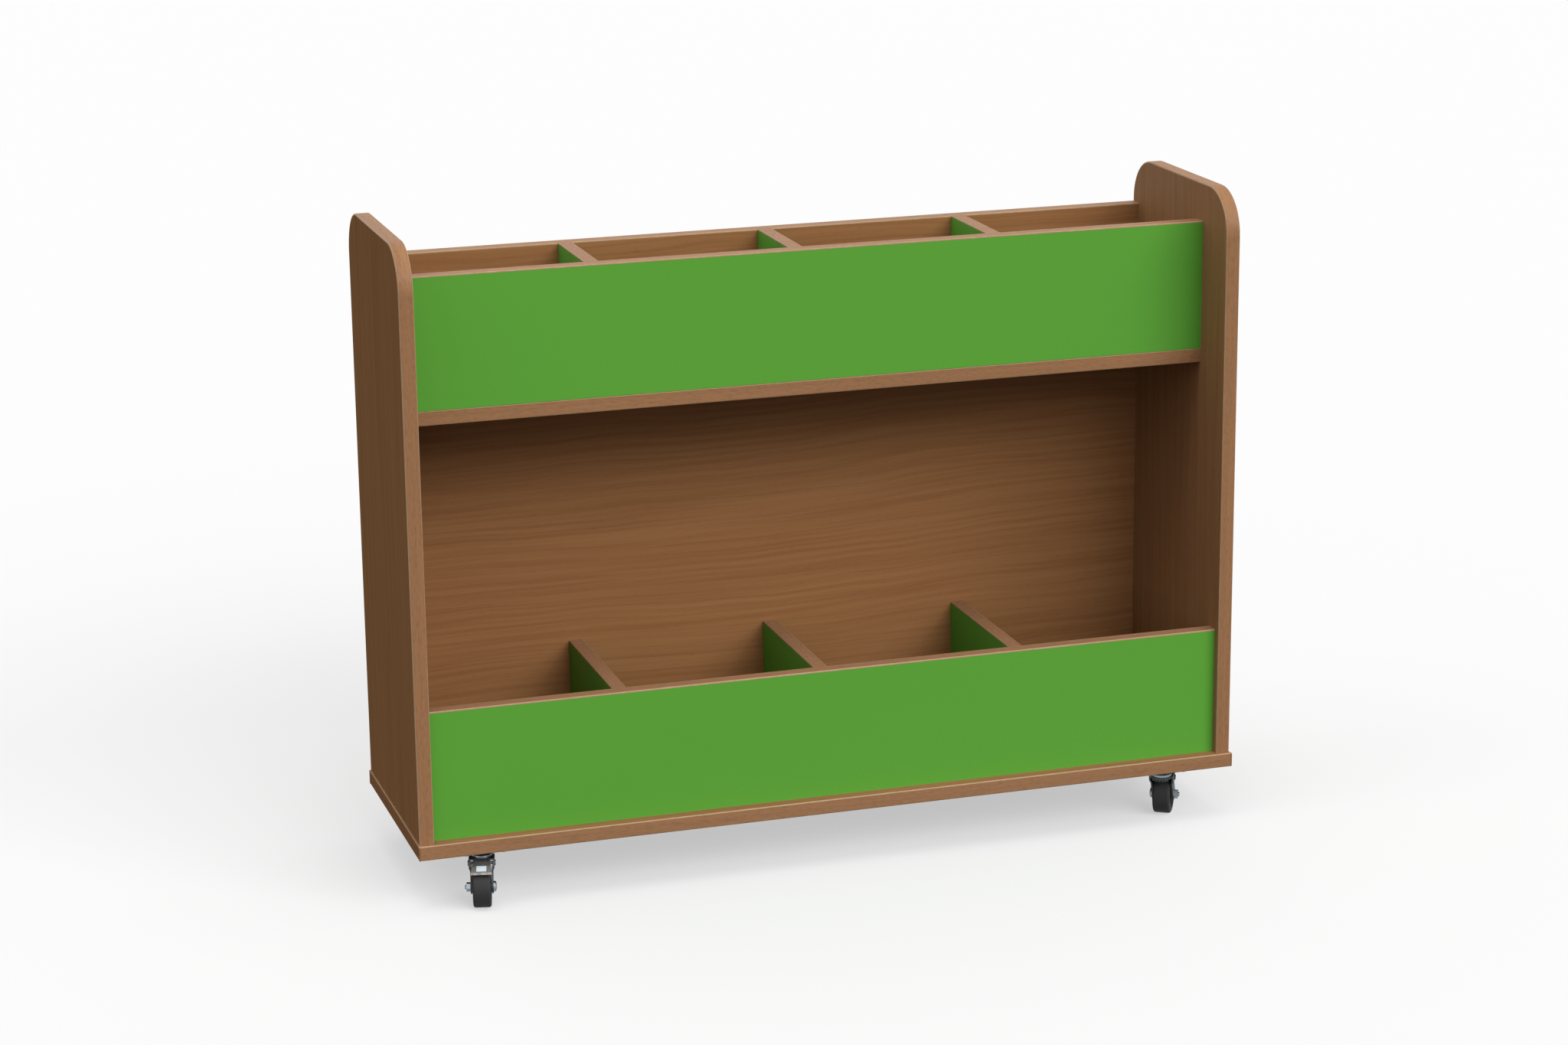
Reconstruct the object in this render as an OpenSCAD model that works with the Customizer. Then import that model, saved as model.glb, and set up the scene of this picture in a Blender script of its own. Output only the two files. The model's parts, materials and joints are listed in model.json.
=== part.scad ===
// Two-tier mobile bookcase with four face-out bins on each tier, on four swivel castors.
// Origin on the floor under the middle of the base board, front towards -Y, millimetres.

/* [Boards] */
// Thickness of every board
board_t = 18; // [16:1:22]
// Thickness of the edging bands
edge_t = 2; // [2:0.25:3]
// Rounding of the edging's outer arrises
edge_r = 1.5; // [0.5:0.25:1.5]

/* [Carcass] */
// Clear width of one bin
bin_w = 240; // [200:5:300]
// Depth of the side panels
side_d = 295; // [270:5:360]
// Height of the side panels above the back panel
side_rise = 59; // [56:1:120]
// Radius of the side panels' top corners
corner_r = 55; // [20:1:56]
// Clear height between the base board and the upper shelf
shelf_gap = 495; // [350:5:600]
// Overhang of the base board past each side panel
base_over_side = 2; // [1:0.5:10]
// Overhang of the base board past the side panels' front edges
base_over_front = 5; // [1:0.5:20]

/* [Bins] */
// Height of the bin dividers with their edging
divider_h = 150; // [100:5:200]
// Height of the front panels above the dividers
front_rise = 12; // [0:1:30]
// Distance of the upper front panel behind the side panels' front edges
upper_setback = 72; // [20:1:100]
// Distance of the lower front panel behind the side panels' front edges
lower_setback = 11; // [0:1:60]

/* [Joinery] */
// Head diameter of the panel screws
screw_head_d = 10; // [9:0.5:12]
// Head height of the panel screws
screw_head_h = 3; // [2:0.5:4]
// Neck diameter of the panel screws
screw_neck_d = 7; // [6:0.5:8]
// Thread diameter of the panel screws
screw_core_d = 5; // [4:0.5:6]
// Length of the panel screws
screw_len = 50; // [40:1:60]
// Distance of the outer screws and dowels from a board's end
fix_in = 50; // [35:1:60]
// Diameter of the dowels
dowel_d = 8; // [6:1:10]
// Depth of a dowel in a side panel
dowel_face = 12; // [8:1:13]
// Depth of a dowel in a board's end
dowel_end = 18; // [14:1:22]
// Diameter of the cam housings
cam_d = 15; // [12:1:18]
// Height of the cam housings
cam_h = 12.5; // [11:0.5:13]
// Distance of a cam's axis from the board's end
cam_in = 24; // [20:1:34]
// Distance of the cams from the dowels beside them
cam_step = 32; // [20:1:36]
// Shank diameter of the cam bolts
bolt_d = 6; // [5:0.5:6]
// Thread depth of the cam bolts in a side panel
bolt_face = 11; // [8:0.5:13]
// Radial clearance of fasteners in their bores
play = 0.1; // [0.05:0.05:0.2]

/* [Castor places] */
// Distance of the swivel axes from the base board's ends
castor_in_x = 83; // [60:1:120]
// Distance of the swivel axes from the base board's front and rear edges
castor_in_y = 33; // [31:1:60]
// Direction in which the front left castor trails
turn_fl = -104; // [-180:1:180]
// Direction in which the front right castor trails
turn_fr = 58; // [-180:1:180]
// Direction in which the rear left castor trails
turn_rl = 160; // [-180:1:180]
// Direction in which the rear right castor trails
turn_rr = 76; // [-180:1:180]

/* [Castor plates] */
// Height of a castor from the floor to the base board
castor_h = 70; // [69:0.5:80]
// Width of the top plate along the bookcase
plate_w = 60; // [56:1:62]
// Depth of the top plate from front to back
plate_d = 48; // [46:0.5:60]
// Thickness of the top plate
plate_t = 2.5; // [2:0.25:3]
// Corner radius of the top plate
plate_r = 6; // [2:0.5:8]
// Spacing of the top plate's screw holes along the bookcase
hole_pitch_x = 46; // [42:1:47]
// Spacing of the top plate's screw holes from front to back
hole_pitch_y = 34; // [31:1:36]
// Shank diameter of the castor screws
cscrew_d = 4.5; // [3.5:0.25:5]
// Head diameter of the castor screws
cscrew_head_d = 8.5; // [7:0.25:9]
// Head height of the castor screws
cscrew_head_h = 2.6; // [2:0.1:3]
// Depth of the castor screws in the base board
cscrew_depth = 14; // [10:1:15]
// Depth of the dish pressed into the top plate
dish_h = 6.5; // [5:0.25:7]
// Radius of the dish at the top plate
dish_r = 22.5; // [21:0.25:23]
// Radius of the dish's floor
dish_floor_r = 13.5; // [13:0.25:15]

/* [Swivel bearing] */
// Gap between the dish and the fork's crown
race_gap = 3.5; // [3:0.1:4]
// Pitch radius of the ball ring
race_r = 9.8; // [9.4:0.1:10.2]
// How much larger than the gap the balls are
ball_sink = 0.3; // [0.2:0.1:0.6]
// Number of balls
ball_n = 15; // [10:1:15]
// Wall of the cup around the balls
cup_t = 1.2; // [1:0.1:1.5]
// Diameter of the kingpin
kingpin_d = 8; // [6:0.5:9]
// Diameter of the kingpin's lower head
kingpin_head_d = 13; // [11:0.5:13.5]
// Height of the kingpin's lower head
kingpin_head_h = 2.2; // [1.5:0.1:2.5]
// Running clearance of turning pieces
run = 0.08; // [0.05:0.01:0.1]

/* [Forks] */
// Thickness of the fork's sheet
sheet_t = 2; // [1.5:0.1:2.2]
// Radius of the fork's crown
crown_r = 14.5; // [14:0.25:15]
// Half width of the fork over its shoulders
shoulder_w = 15.6; // [15.2:0.1:17]
// Side clearance of the wheel hub in the fork
hub_gap = 0.3; // [0.2:0.05:0.5]
// Radius of the fork around the axle
eye_r = 8.5; // [7:0.25:10]
// Reach of the fork's legs ahead of the swivel axis
leg_fore = 3; // [2:0.5:8]
// Reach of the fork's legs behind the swivel axis
leg_aft = 14; // [13:0.5:15]
// Radius of the toothed skirt under the front of the crown
skirt_r = 12.4; // [11.5:0.1:12.8]
// Height of the skirt above its teeth
skirt_h = 2; // [1:0.25:3]
// Thickness of the skirt
skirt_t = 1.6; // [1.2:0.1:2]
// Number of teeth on the skirt
tooth_n = 7; // [3:1:9]
// Width and length of the teeth
tooth_s = 2; // [1.5:0.1:3]
// Angle from one tooth to the next
tooth_step = 17; // [14:0.5:18]

/* [Wheels] */
// Diameter of the wheels
wheel_d = 50; // [48:0.5:51]
// Width of the tyres
wheel_w = 22; // [18:0.5:24]
// Rounding of the tread's edges
tread_r = 3; // [1:0.25:4]
// Radius of the wheel hub under the tyre
hub_r = 17; // [14:0.5:19]
// Width of the hub's rim
rim_w = 19; // [14:0.5:21]
// Thickness of the hub's rim
rim_t = 2.5; // [2:0.25:4]
// Thickness of the hub's web
web_t = 5; // [3:0.5:8]
// Radius of the hub's boss
boss_r = 6.5; // [5:0.25:8]
// Length of the hub's boss past each side of the tyre
boss_out = 0.5; // [0.3:0.1:1.5]
// Number of ribs on each side of the hub
rib_n = 6; // [3:1:8]
// Thickness of the hub's ribs
rib_t = 1.6; // [1:0.1:2.5]
// Distance of the axle from the swivel axis
trail = 22.4; // [21.5:0.1:24]
// Diameter of the axle bolt
axle_d = 6; // [5:0.5:8]
// Diameter of the axle bolt's head
axle_head_d = 13; // [10:0.5:14]
// Height of the axle bolt's head
axle_head_h = 3.7; // [2.5:0.1:5]
// Width across corners of the axle nut
nut_d = 11.5; // [10:0.5:14]
// Height of the axle nut
nut_h = 5; // [3:0.25:6]
// Length of thread past the axle nut
thread_out = 2; // [1:0.25:3]

/* [Brake pedals] */
// Distance of the pedal pin from the swivel axis
pedal_pin_s = 11.5; // [11:0.1:12]
// Drop of the pedal pin's axis below the crown
pedal_pin_drop = 4; // [3.8:0.1:4.2]
// Diameter of the pedal pin
pedal_pin_d = 4; // [3:0.25:4]
// Diameter of the pedal pin's heads
pedal_head_d = 7; // [6:0.25:8]
// Height of the pedal pin's heads
pedal_head_h = 1.2; // [0.8:0.1:2]
// Radius of the pedal's eye around its pin
pedal_eye_r = 3; // [2.8:0.1:3.1]
// Thickness of the pedal's sheet
pedal_t = 2; // [1.5:0.1:2.2]
// Half width of the pedal at its pin
pedal_in_w = 10.2; // [9:0.1:11]
// Half width of the pedal at its lip
pedal_out_w = 12.6; // [11:0.1:13.5]
// Reach of the pedal past the axle
pedal_out = 20.5; // [18:0.5:24]
// Gap between the pedal and the top of the tyre
pedal_gap = 1.6; // [1.5:0.1:2]
// Reach of the pedal's flat part past the axle
pedal_flat = 8; // [7:0.25:9]
// Fall of the pedal's underside from its flat part to its lip
pedal_fall = 4.7; // [4:0.1:4.8]
// Width and length of the raised pad on the pedal
pad_s = 12; // [8:0.5:12.5]
// Height of the raised pad on the pedal
pad_h = 0.5; // [0.3:0.1:0.8]

/* [Hidden] */
$fn = 48;

// Colours
beech = [0.66, 0.48, 0.33];
beech_edge = [0.73, 0.54, 0.38];
green = [0.40, 0.64, 0.25];
zinc = [0.72, 0.76, 0.78];
steel_grey = [0.45, 0.44, 0.42];
rubber = [0.12, 0.12, 0.12];
hub_grey = [0.25, 0.27, 0.28];

// Main sizes that follow from the bins and the boards
bin_n = 4;
body_w = bin_n * bin_w + (bin_n + 1) * board_t;
base_w = body_w + 2 * base_over_side;
base_d = side_d + base_over_front;
back_h = shelf_gap + board_t + divider_h;
side_h = back_h + side_rise;
front_h = divider_h + front_rise;

// Planes of the carcass
z_base = castor_h;
z_floor = z_base + board_t;
z_shelf = z_floor + shelf_gap;
z_tier = z_shelf + board_t;
x_out = body_w / 2;
x_in = x_out - board_t;
y_back = base_d / 2;
y_in = y_back - board_t;
y_front = y_back - side_d;
y_up = y_front + upper_setback;
y_low = y_front + lower_setback;
shelf_d = y_in - y_up;

// Lines along which boards are fixed
bin_pitch = bin_w + board_t;
bin_xs = [for (i = [0:bin_n - 1]) (i - (bin_n - 1) / 2) * bin_pitch];
divider_xs = [for (i = [1:bin_n - 1]) (i - bin_n / 2) * bin_pitch];
low_div_y0 = y_low + board_t;
up_div_y0 = y_up + board_t;
low_div_ys = [low_div_y0 + fix_in, y_in - fix_in];
up_div_ys = [up_div_y0 + fix_in, y_in - fix_in];
side_screw_ys = [y_front + fix_in, y_back - fix_in];
shelf_dowel_ys = [y_up + fix_in, y_in - fix_in];
shelf_cam_ys = [y_up + fix_in + cam_step, y_in - fix_in - cam_step];
back_dowel_zs = [z_floor + fix_in, z_floor + back_h / 2, z_floor + back_h - fix_in];
back_cam_zs = [z_floor + fix_in + cam_step, z_floor + back_h - fix_in - cam_step];
front_dowel_dzs = [fix_in, front_h - fix_in];
dip = 1;

// Castors, numbered front left, front right, rear left, rear right
castor_xs = [-1, 1, -1, 1] * (base_w / 2 - castor_in_x);
castor_ys = [-1, -1, 1, 1] * (base_d / 2 - castor_in_y);
castor_turns = [turn_fl, turn_fr, turn_rl, turn_rr];

// Heights in a castor
axle_z = wheel_d / 2;
z_plate = castor_h - plate_t;
z_dish = z_plate - dish_h;
z_crown = z_dish - race_gap;
ball_d = race_gap + ball_sink;
ball_z = z_crown + race_gap / 2;
cup_r = race_r + ball_d / 2 + dip / 2;
cup_h = race_gap - dip / 2;
hub_half = wheel_w / 2 + boss_out;
leg_in = hub_half + hub_gap;
leg_out = leg_in + sheet_t;
shoulder_z = z_crown - 9.5;
waist_z = shoulder_z - 2.4 * (shoulder_w - leg_out);
pedal_pin_z = z_crown - sheet_t - pedal_pin_drop;

// A direction about the vertical as a point on a circle
function around(r, a) = [r * cos(a), r * sin(a)];

// The point where a line from p touches a circle of radius r about c
function touch(p, c, r, side) =
    let (v = p - c, a = atan2(v[1], v[0]) + side * acos(r / norm(v))) c + around(r, a);

// Edging: profile with rounded outer arrises, outward along x
module edge_profile() {
    translate([0, -board_t / 2]) square([edge_t - edge_r, board_t]);
    translate([0, edge_r - board_t / 2]) square([edge_t, board_t - 2 * edge_r]);
    intersection() {
        for (s = [-1, 1]) translate([edge_t - edge_r, s * (board_t / 2 - edge_r)]) circle(edge_r);
        translate([0, -board_t / 2]) square([edge_t, board_t]);
    }
}

// Edging along +x from the origin, outward towards +y
module strip(len) {
    rotate([90, 0, 90]) linear_extrude(len) edge_profile();
}

// Edging around a quarter corner from +x to +y
module corner_strip(r) {
    rotate_extrude(angle = 90, $fn = 96) translate([r - edge_t, 0]) edge_profile();
}

// A block between two corners
module block(lo, hi) {
    translate(lo) cube(hi - lo);
}

// Panel screw and its bore, head down at the origin
module panel_screw() {
    cylinder(d = screw_head_d, h = screw_head_h);
    cylinder(d = screw_neck_d, h = board_t);
    cylinder(d = screw_core_d, h = screw_len);
}

module panel_screw_bore() {
    translate([0, 0, -dip]) cylinder(d = screw_head_d + 2 * play, h = screw_head_h + dip);
    cylinder(d = screw_neck_d + 2 * play, h = board_t);
    cylinder(d = screw_core_d + 2 * play, h = screw_len + dip);
}

// Places of the screws that rise through the base board
module at_base_screws() {
    for (s = [-1, 1], y = side_screw_ys)
        translate([s * (x_out - board_t / 2), y, z_base]) children();
    for (x = bin_xs, y = [y_back - board_t / 2, y_low + board_t / 2])
        translate([x, y, z_base]) children();
    for (x = divider_xs, y = low_div_ys) translate([x, y, z_base]) children();
}

// Places of the screws that rise through the upper shelf
module at_shelf_screws() {
    for (x = bin_xs) translate([x, y_up + board_t / 2, z_shelf]) children();
    for (x = divider_xs, y = up_div_ys) translate([x, y, z_shelf]) children();
}

// Places of the screws that go through the back panel into the shelf
module at_back_screws() {
    for (x = bin_xs)
        translate([x, y_back, z_shelf + board_t / 2]) rotate([90, 0, 0]) children();
}

// Places of the dowels, at the side panels' inner faces, pointing outwards
module at_dowels() {
    for (s = [0, 1]) mirror([1 - s, 0, 0]) translate([x_in, 0, 0]) {
        for (y = shelf_dowel_ys) translate([0, y, z_shelf + board_t / 2]) children();
        for (z = back_dowel_zs) translate([0, y_back - board_t / 2, z]) children();
        for (dz = front_dowel_dzs) {
            translate([0, y_up + board_t / 2, z_tier + dz]) children();
            translate([0, y_low + board_t / 2, z_floor + dz]) children();
        }
    }
}

module dowel(gap) {
    rotate([0, 90, 0]) translate([0, 0, -dowel_end - 5 * gap])
        cylinder(d = dowel_d + 2 * gap, h = dowel_end + dowel_face + 10 * gap);
}

// Places of the cams, at the side panels' inner faces, with the cam's face towards -z
module at_cams() {
    for (s = [0, 1]) mirror([1 - s, 0, 0]) translate([x_in, 0, 0]) {
        for (y = shelf_cam_ys) translate([0, y, z_shelf + board_t / 2]) children();
        for (z = back_cam_zs)
            translate([0, y_back - board_t / 2, z]) rotate([90, 0, 0]) children();
    }
}

module cam_bolt(gap) {
    translate([-cam_in, 0, 0]) rotate([0, 90, 0])
        cylinder(d = bolt_d + 2 * gap, h = cam_in + bolt_face + 5 * gap);
}

module cam_bore() {
    translate([-cam_in, 0, -board_t / 2 - dip])
        cylinder(d = cam_d + 2 * play, h = cam_h + dip + play);
}

module cam_housing() {
    difference() {
        translate([-cam_in, 0, -board_t / 2]) cylinder(d = cam_d, h = cam_h);
        translate([-dip, 0, 0]) cam_bolt(play);
        translate([-cam_in, 0, -board_t / 2]) {
            cube([cam_d / 2, 1.2, dip * 2], center = true);
            cube([1.2, cam_d / 2, dip * 2], center = true);
        }
    }
}

module bored() {
    difference() {
        children();
        at_base_screws() panel_screw_bore();
        at_shelf_screws() panel_screw_bore();
        at_back_screws() panel_screw_bore();
    }
}

module bored_ends() {
    bored() difference() {
        children();
        at_dowels() dowel(play);
        at_cams() {
            cam_bolt(play);
            cam_bore();
        }
    }
}

// Base board
module base_board() {
    color(beech) difference() {
        bored() block([edge_t - base_w / 2, edge_t - y_back, z_base],
            [base_w / 2 - edge_t, y_back - edge_t, z_floor]);
        for (i = [0:3]) at_plate_holes(i) translate([0, 0, -dip])
            cylinder(d = cscrew_d + 2 * play, h = cscrew_depth + 2 * dip);
    }
}

module base_edging() {
    color(beech_edge) translate([0, 0, z_base + board_t / 2]) for (a = [0, 180]) rotate(a) {
        translate([-base_w / 2, y_back - edge_t, 0]) strip(base_w);
        translate([base_w / 2 - edge_t, y_back - edge_t, 0]) rotate(-90)
            strip(base_d - 2 * edge_t);
    }
}

// Side panels, drawn flat with the front edge at x = 0 and the foot at y = 0
module side_core() {
    r = corner_r - edge_t;
    translate([edge_t, 0]) {
        square([side_d - 2 * edge_t, side_h - corner_r]);
        translate([r, 0]) square([side_d - 2 * corner_r, side_h - edge_t]);
    }
    for (x = [corner_r, side_d - corner_r]) translate([x, side_h - corner_r]) circle(r, $fn = 96);
}

module side_band() {
    run_h = side_h - corner_r;
    translate([edge_t, 0, 0]) rotate(90) strip(run_h);
    translate([side_d - edge_t, run_h, 0]) rotate(-90) strip(run_h);
    translate([corner_r, side_h - edge_t, 0]) strip(side_d - 2 * corner_r);
    translate([side_d - corner_r, run_h, 0]) corner_strip(corner_r);
    translate([corner_r, run_h, 0]) rotate(90) corner_strip(corner_r);
}

module stand_side(s) {
    translate([s * (x_out - board_t / 2), y_front, z_floor]) rotate([90, 0, 90]) children();
}

module side_panel(s) {
    color(beech) bored_ends() stand_side(s)
        linear_extrude(board_t, center = true) side_core();
}

module side_edging(s) {
    color(beech_edge) stand_side(s) side_band();
}

// Boards between the side panels
module back_panel() {
    color(beech) bored_ends() block([-x_in, y_in, z_floor], [x_in, y_back, z_floor + back_h - edge_t]);
}

module upper_shelf() {
    color(beech) bored_ends() block([-x_in, y_up + edge_t, z_shelf], [x_in, y_in, z_tier]);
}

module upper_shelf_edging() {
    color(beech_edge) translate([x_in, y_up + edge_t, z_shelf + board_t / 2]) rotate(180)
        strip(2 * x_in);
}

module front_panel(y, z) {
    color(green) bored_ends() block([-x_in, y, z], [x_in, y + board_t, z + front_h - edge_t]);
}

// Edging along a top edge from one point in the direction a
module top_edging(p, a, len) {
    color(beech_edge) translate(p) rotate(a) rotate([90, 0, 0]) strip(len);
}

module divider(i, y0, z) {
    color(green) bored() block([divider_xs[i] - board_t / 2, y0, z],
        [divider_xs[i] + board_t / 2, y_in, z + divider_h - edge_t]);
}

module divider_edgings(y0, z) {
    for (x = divider_xs) top_edging([x, y0, z + divider_h - edge_t], 90, y_in - y0);
}

// Fasteners of the carcass
module panel_screws() {
    color(steel_grey) {
        at_base_screws() panel_screw();
        at_shelf_screws() panel_screw();
        at_back_screws() panel_screw();
    }
}

module panel_dowels() {
    color(beech_edge) at_dowels() dowel(0);
}

module cam_housings() {
    color(steel_grey) at_cams() cam_housing();
}

module cam_bolts() {
    color(zinc) at_cams() cam_bolt(0);
}

// Castor frames: origin on the floor under the swivel axis, trailing towards +x
module at_castor(i) {
    translate([castor_xs[i], castor_ys[i], 0]) rotate(castor_turns[i]) children();
}

module at_plate(i) {
    translate([castor_xs[i], castor_ys[i], 0]) children();
}

module at_plate_holes(i) {
    at_plate(i) for (sx = [-1, 1], sy = [-1, 1])
        translate([sx * hole_pitch_x / 2, sy * hole_pitch_y / 2, castor_h]) children();
}

module at_axle() {
    translate([trail, 0, axle_z]) rotate([-90, 0, 0]) children();
}

module castor_screws() {
    color(zinc) for (i = [0:3]) at_plate_holes(i) {
        translate([0, 0, -plate_t - cscrew_head_h / 2]) {
            cylinder(d = cscrew_head_d, h = cscrew_head_h / 2);
            cylinder(d = cscrew_d, h = plate_t + cscrew_head_h / 2 + cscrew_depth);
        }
        translate([0, 0, -plate_t - cscrew_head_h])
            cylinder(d1 = cscrew_head_d * 0.7, d2 = cscrew_head_d, h = cscrew_head_h / 2);
    }
}

module ball_track() {
    translate([0, 0, ball_z]) rotate_extrude() translate([race_r, 0])
        circle(d = ball_d + run, $fn = 32);
}

// Top plate with a dish pressed down to the ball race
module castor_plate(i) {
    wall = plate_t * 0.9;
    across = plate_w / 2 - plate_r;
    along = plate_d / 2 - plate_r;
    color(zinc) at_plate(i) difference() {
        union() {
            translate([0, 0, z_plate]) linear_extrude(plate_t) difference() {
                union() {
                    square([plate_w, 2 * along], center = true);
                    square([2 * across, plate_d], center = true);
                    for (sx = [-1, 1], sy = [-1, 1]) translate([sx * across, sy * along])
                        circle(plate_r);
                }
                circle(dish_r - wall / 2);
                for (sx = [-1, 1], sy = [-1, 1])
                    translate([sx * hole_pitch_x / 2, sy * hole_pitch_y / 2])
                        circle(d = cscrew_d + 2 * play);
            }
            rotate_extrude() polygon([
                [kingpin_d / 2 + play, z_dish], [dish_floor_r, z_dish],
                [dish_r, z_plate], [dish_r, castor_h], [dish_r - wall, castor_h],
                [dish_floor_r - wall / 2, z_dish + wall], [kingpin_d / 2 + play, z_dish + wall]
            ]);
        }
        ball_track();
    }
}

module swivel_balls() {
    color(zinc) for (i = [0:3], k = [0:ball_n - 1]) at_castor(i)
        translate([race_r * cos(360 * k / ball_n), race_r * sin(360 * k / ball_n), ball_z])
            sphere(d = ball_d, $fn = 24);
}

// Rivet through the dish and the crown, turned over at both ends
module kingpins() {
    top = z_dish + plate_t * 0.9;
    low = z_crown - sheet_t - run;
    color(zinc) for (i = [0:3]) at_plate(i) {
        translate([0, 0, low]) cylinder(d = kingpin_d, h = top + 1.5 - low);
        translate([0, 0, top]) cylinder(d = kingpin_d + 4, h = 1.5);
        translate([0, 0, low - kingpin_head_h / 2])
            cylinder(d = kingpin_head_d, h = kingpin_head_h / 2);
        translate([0, 0, low - kingpin_head_h])
            cylinder(d1 = kingpin_head_d * 0.6, d2 = kingpin_head_d, h = kingpin_head_h / 2);
    }
}

// Fork leg: the folded section along the leg, cut to the leg's outline
module fork_leg() {
    c = [trail, axle_z];
    a = [leg_aft, z_crown];
    f = [-leg_fore, z_crown];
    low = axle_z - eye_r - dip;
    intersection() {
        translate([-leg_fore, 0, 0]) rotate([90, 0, 90])
            linear_extrude(leg_fore + trail + eye_r) polygon([
                [leg_in, low], [leg_out, low], [leg_out, waist_z],
                [shoulder_w, shoulder_z], [shoulder_w, z_crown],
                [shoulder_w - sheet_t, z_crown], [shoulder_w - sheet_t, shoulder_z + sheet_t / 4],
                [leg_in, waist_z + sheet_t / 4]
            ]);
        rotate([90, 0, 0]) linear_extrude(4 * shoulder_w, center = true) union() {
            translate(c) circle(eye_r);
            polygon([f, a, touch(a, c, eye_r, -1), c, touch(f, c, eye_r, 1)]);
        }
    }
}

// Crown with the cup of the ball race and a toothed skirt under its front
module crown() {
    translate([0, 0, z_crown - sheet_t]) linear_extrude(sheet_t) union() {
        intersection() {
            circle(crown_r);
            translate([-crown_r, -crown_r]) square([crown_r + leg_aft, 2 * crown_r]);
        }
        translate([-leg_fore, -shoulder_w]) square([leg_fore + leg_aft, 2 * shoulder_w]);
    }
    translate([0, 0, z_crown - sheet_t]) difference() {
        cylinder(r = cup_r + cup_t, h = sheet_t + cup_h);
        cylinder(r = cup_r, h = sheet_t + cup_h + dip);
    }
    skirt_z = z_crown - sheet_t - skirt_h;
    difference() {
        translate([0, 0, skirt_z]) cylinder(r = skirt_r, h = skirt_h + sheet_t / 2);
        translate([0, 0, skirt_z - dip]) cylinder(r = skirt_r - skirt_t, h = skirt_h + sheet_t + dip);
        translate([-leg_fore / 2, -2 * skirt_r, 0]) cube([2 * skirt_r, 4 * skirt_r, castor_h]);
    }
    for (k = [0:tooth_n - 1]) rotate(180 + tooth_step * (k - (tooth_n - 1) / 2))
        translate([skirt_r - 0.9 * skirt_t, -tooth_s / 2, skirt_z - tooth_s])
            cube([0.8 * skirt_t, tooth_s, tooth_s + skirt_h / 2]);
}

module fork(i, pedal) {
    color(zinc) at_castor(i) difference() {
        union() {
            fork_leg();
            mirror([0, 1, 0]) fork_leg();
            crown();
        }
        cylinder(d = kingpin_d + 2 * run, h = castor_h);
        ball_track();
        at_axle() cylinder(d = axle_d + 2 * play, h = 4 * shoulder_w, center = true);
        if (pedal) translate([pedal_pin_s, 0, pedal_pin_z]) rotate([90, 0, 0])
            cylinder(d = pedal_pin_d + 2 * play, h = 4 * shoulder_w, center = true);
    }
}

module axle_bolt(i) {
    color(zinc) at_castor(i) at_axle() {
        translate([0, 0, -leg_out - nut_h - thread_out])
            cylinder(d = axle_d, h = 2 * leg_out + nut_h + thread_out + axle_head_h / 2);
        translate([0, 0, leg_out]) cylinder(d = axle_head_d, h = axle_head_h * 0.6);
        translate([0, 0, leg_out + axle_head_h * 0.6])
            cylinder(d1 = axle_head_d, d2 = axle_head_d * 0.6, h = axle_head_h * 0.4);
    }
}

module axle_nut(i) {
    color(zinc) at_castor(i) at_axle() difference() {
        translate([0, 0, -leg_out - nut_h]) cylinder(d = nut_d, h = nut_h, $fn = 6);
        translate([0, 0, -leg_out - nut_h - dip])
            cylinder(d = axle_d + 2 * play, h = nut_h + 2 * dip, $fn = 48);
    }
}

module wheel_hub(i) {
    color(hub_grey) at_castor(i) at_axle() difference() {
        union() {
            difference() {
                cylinder(r = hub_r, h = rim_w, center = true);
                cylinder(r = hub_r - rim_t, h = rim_w + dip, center = true);
            }
            cylinder(r = hub_r - rim_t / 2, h = web_t, center = true);
            cylinder(r = boss_r, h = 2 * hub_half, center = true);
            for (k = [0:rib_n - 1]) rotate(360 * k / rib_n)
                translate([boss_r - dip / 2, -rib_t / 2, -rim_w / 2 + dip])
                    cube([hub_r - rim_t - boss_r + dip, rib_t, rim_w - 2 * dip]);
        }
        cylinder(d = axle_d + 2 * run, h = 4 * hub_half, center = true);
    }
}

module tyre(i) {
    r = wheel_d / 2;
    w = wheel_w / 2;
    color(rubber) at_castor(i) at_axle() rotate_extrude($fn = 96) {
        translate([hub_r, -w]) square([r - tread_r - hub_r, 2 * w]);
        translate([hub_r, tread_r - w]) square([r - hub_r, 2 * (w - tread_r)]);
        for (s = [-1, 1]) translate([r - tread_r, s * (w - tread_r)]) circle(tread_r, $fn = 32);
    }
}

// Pedal: a sheet bent over the tyre, with an eye around its pin and a raised pad
pedal_top = wheel_d + pedal_gap + pedal_t;
pedal_lip = wheel_d + pedal_gap - pedal_fall;
pedal_bend = [trail + pedal_flat, pedal_top];
pedal_end = [trail + pedal_out - 1.5, pedal_lip + 1.5 * pedal_t];
pedal_slope = atan2(pedal_end[1] - pedal_bend[1], pedal_end[0] - pedal_bend[0]);

module pedal_sheet() {
    end_s = trail + pedal_out;
    off = around(pedal_t, pedal_slope - 90);
    top = [
        [pedal_pin_s, pedal_pin_z + pedal_eye_r], [trail - 2, pedal_top],
        pedal_bend, pedal_end, [end_s, pedal_lip + pedal_t / 4]
    ];
    under = [
        [end_s - 1.6, pedal_lip], pedal_end + off,
        [trail + pedal_flat - pedal_t / 6, pedal_top - pedal_t],
        [trail - 2, pedal_top - pedal_t], [pedal_pin_s, pedal_pin_z + pedal_eye_r - pedal_t]
    ];
    intersection() {
        rotate([90, 0, 0]) linear_extrude(3 * pedal_out_w, center = true)
            polygon(concat(top, under));
        linear_extrude(castor_h) polygon([
            [pedal_pin_s, -pedal_in_w], [end_s + dip, -pedal_out_w],
            [end_s + dip, pedal_out_w], [pedal_pin_s, pedal_in_w]
        ]);
    }
}

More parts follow.
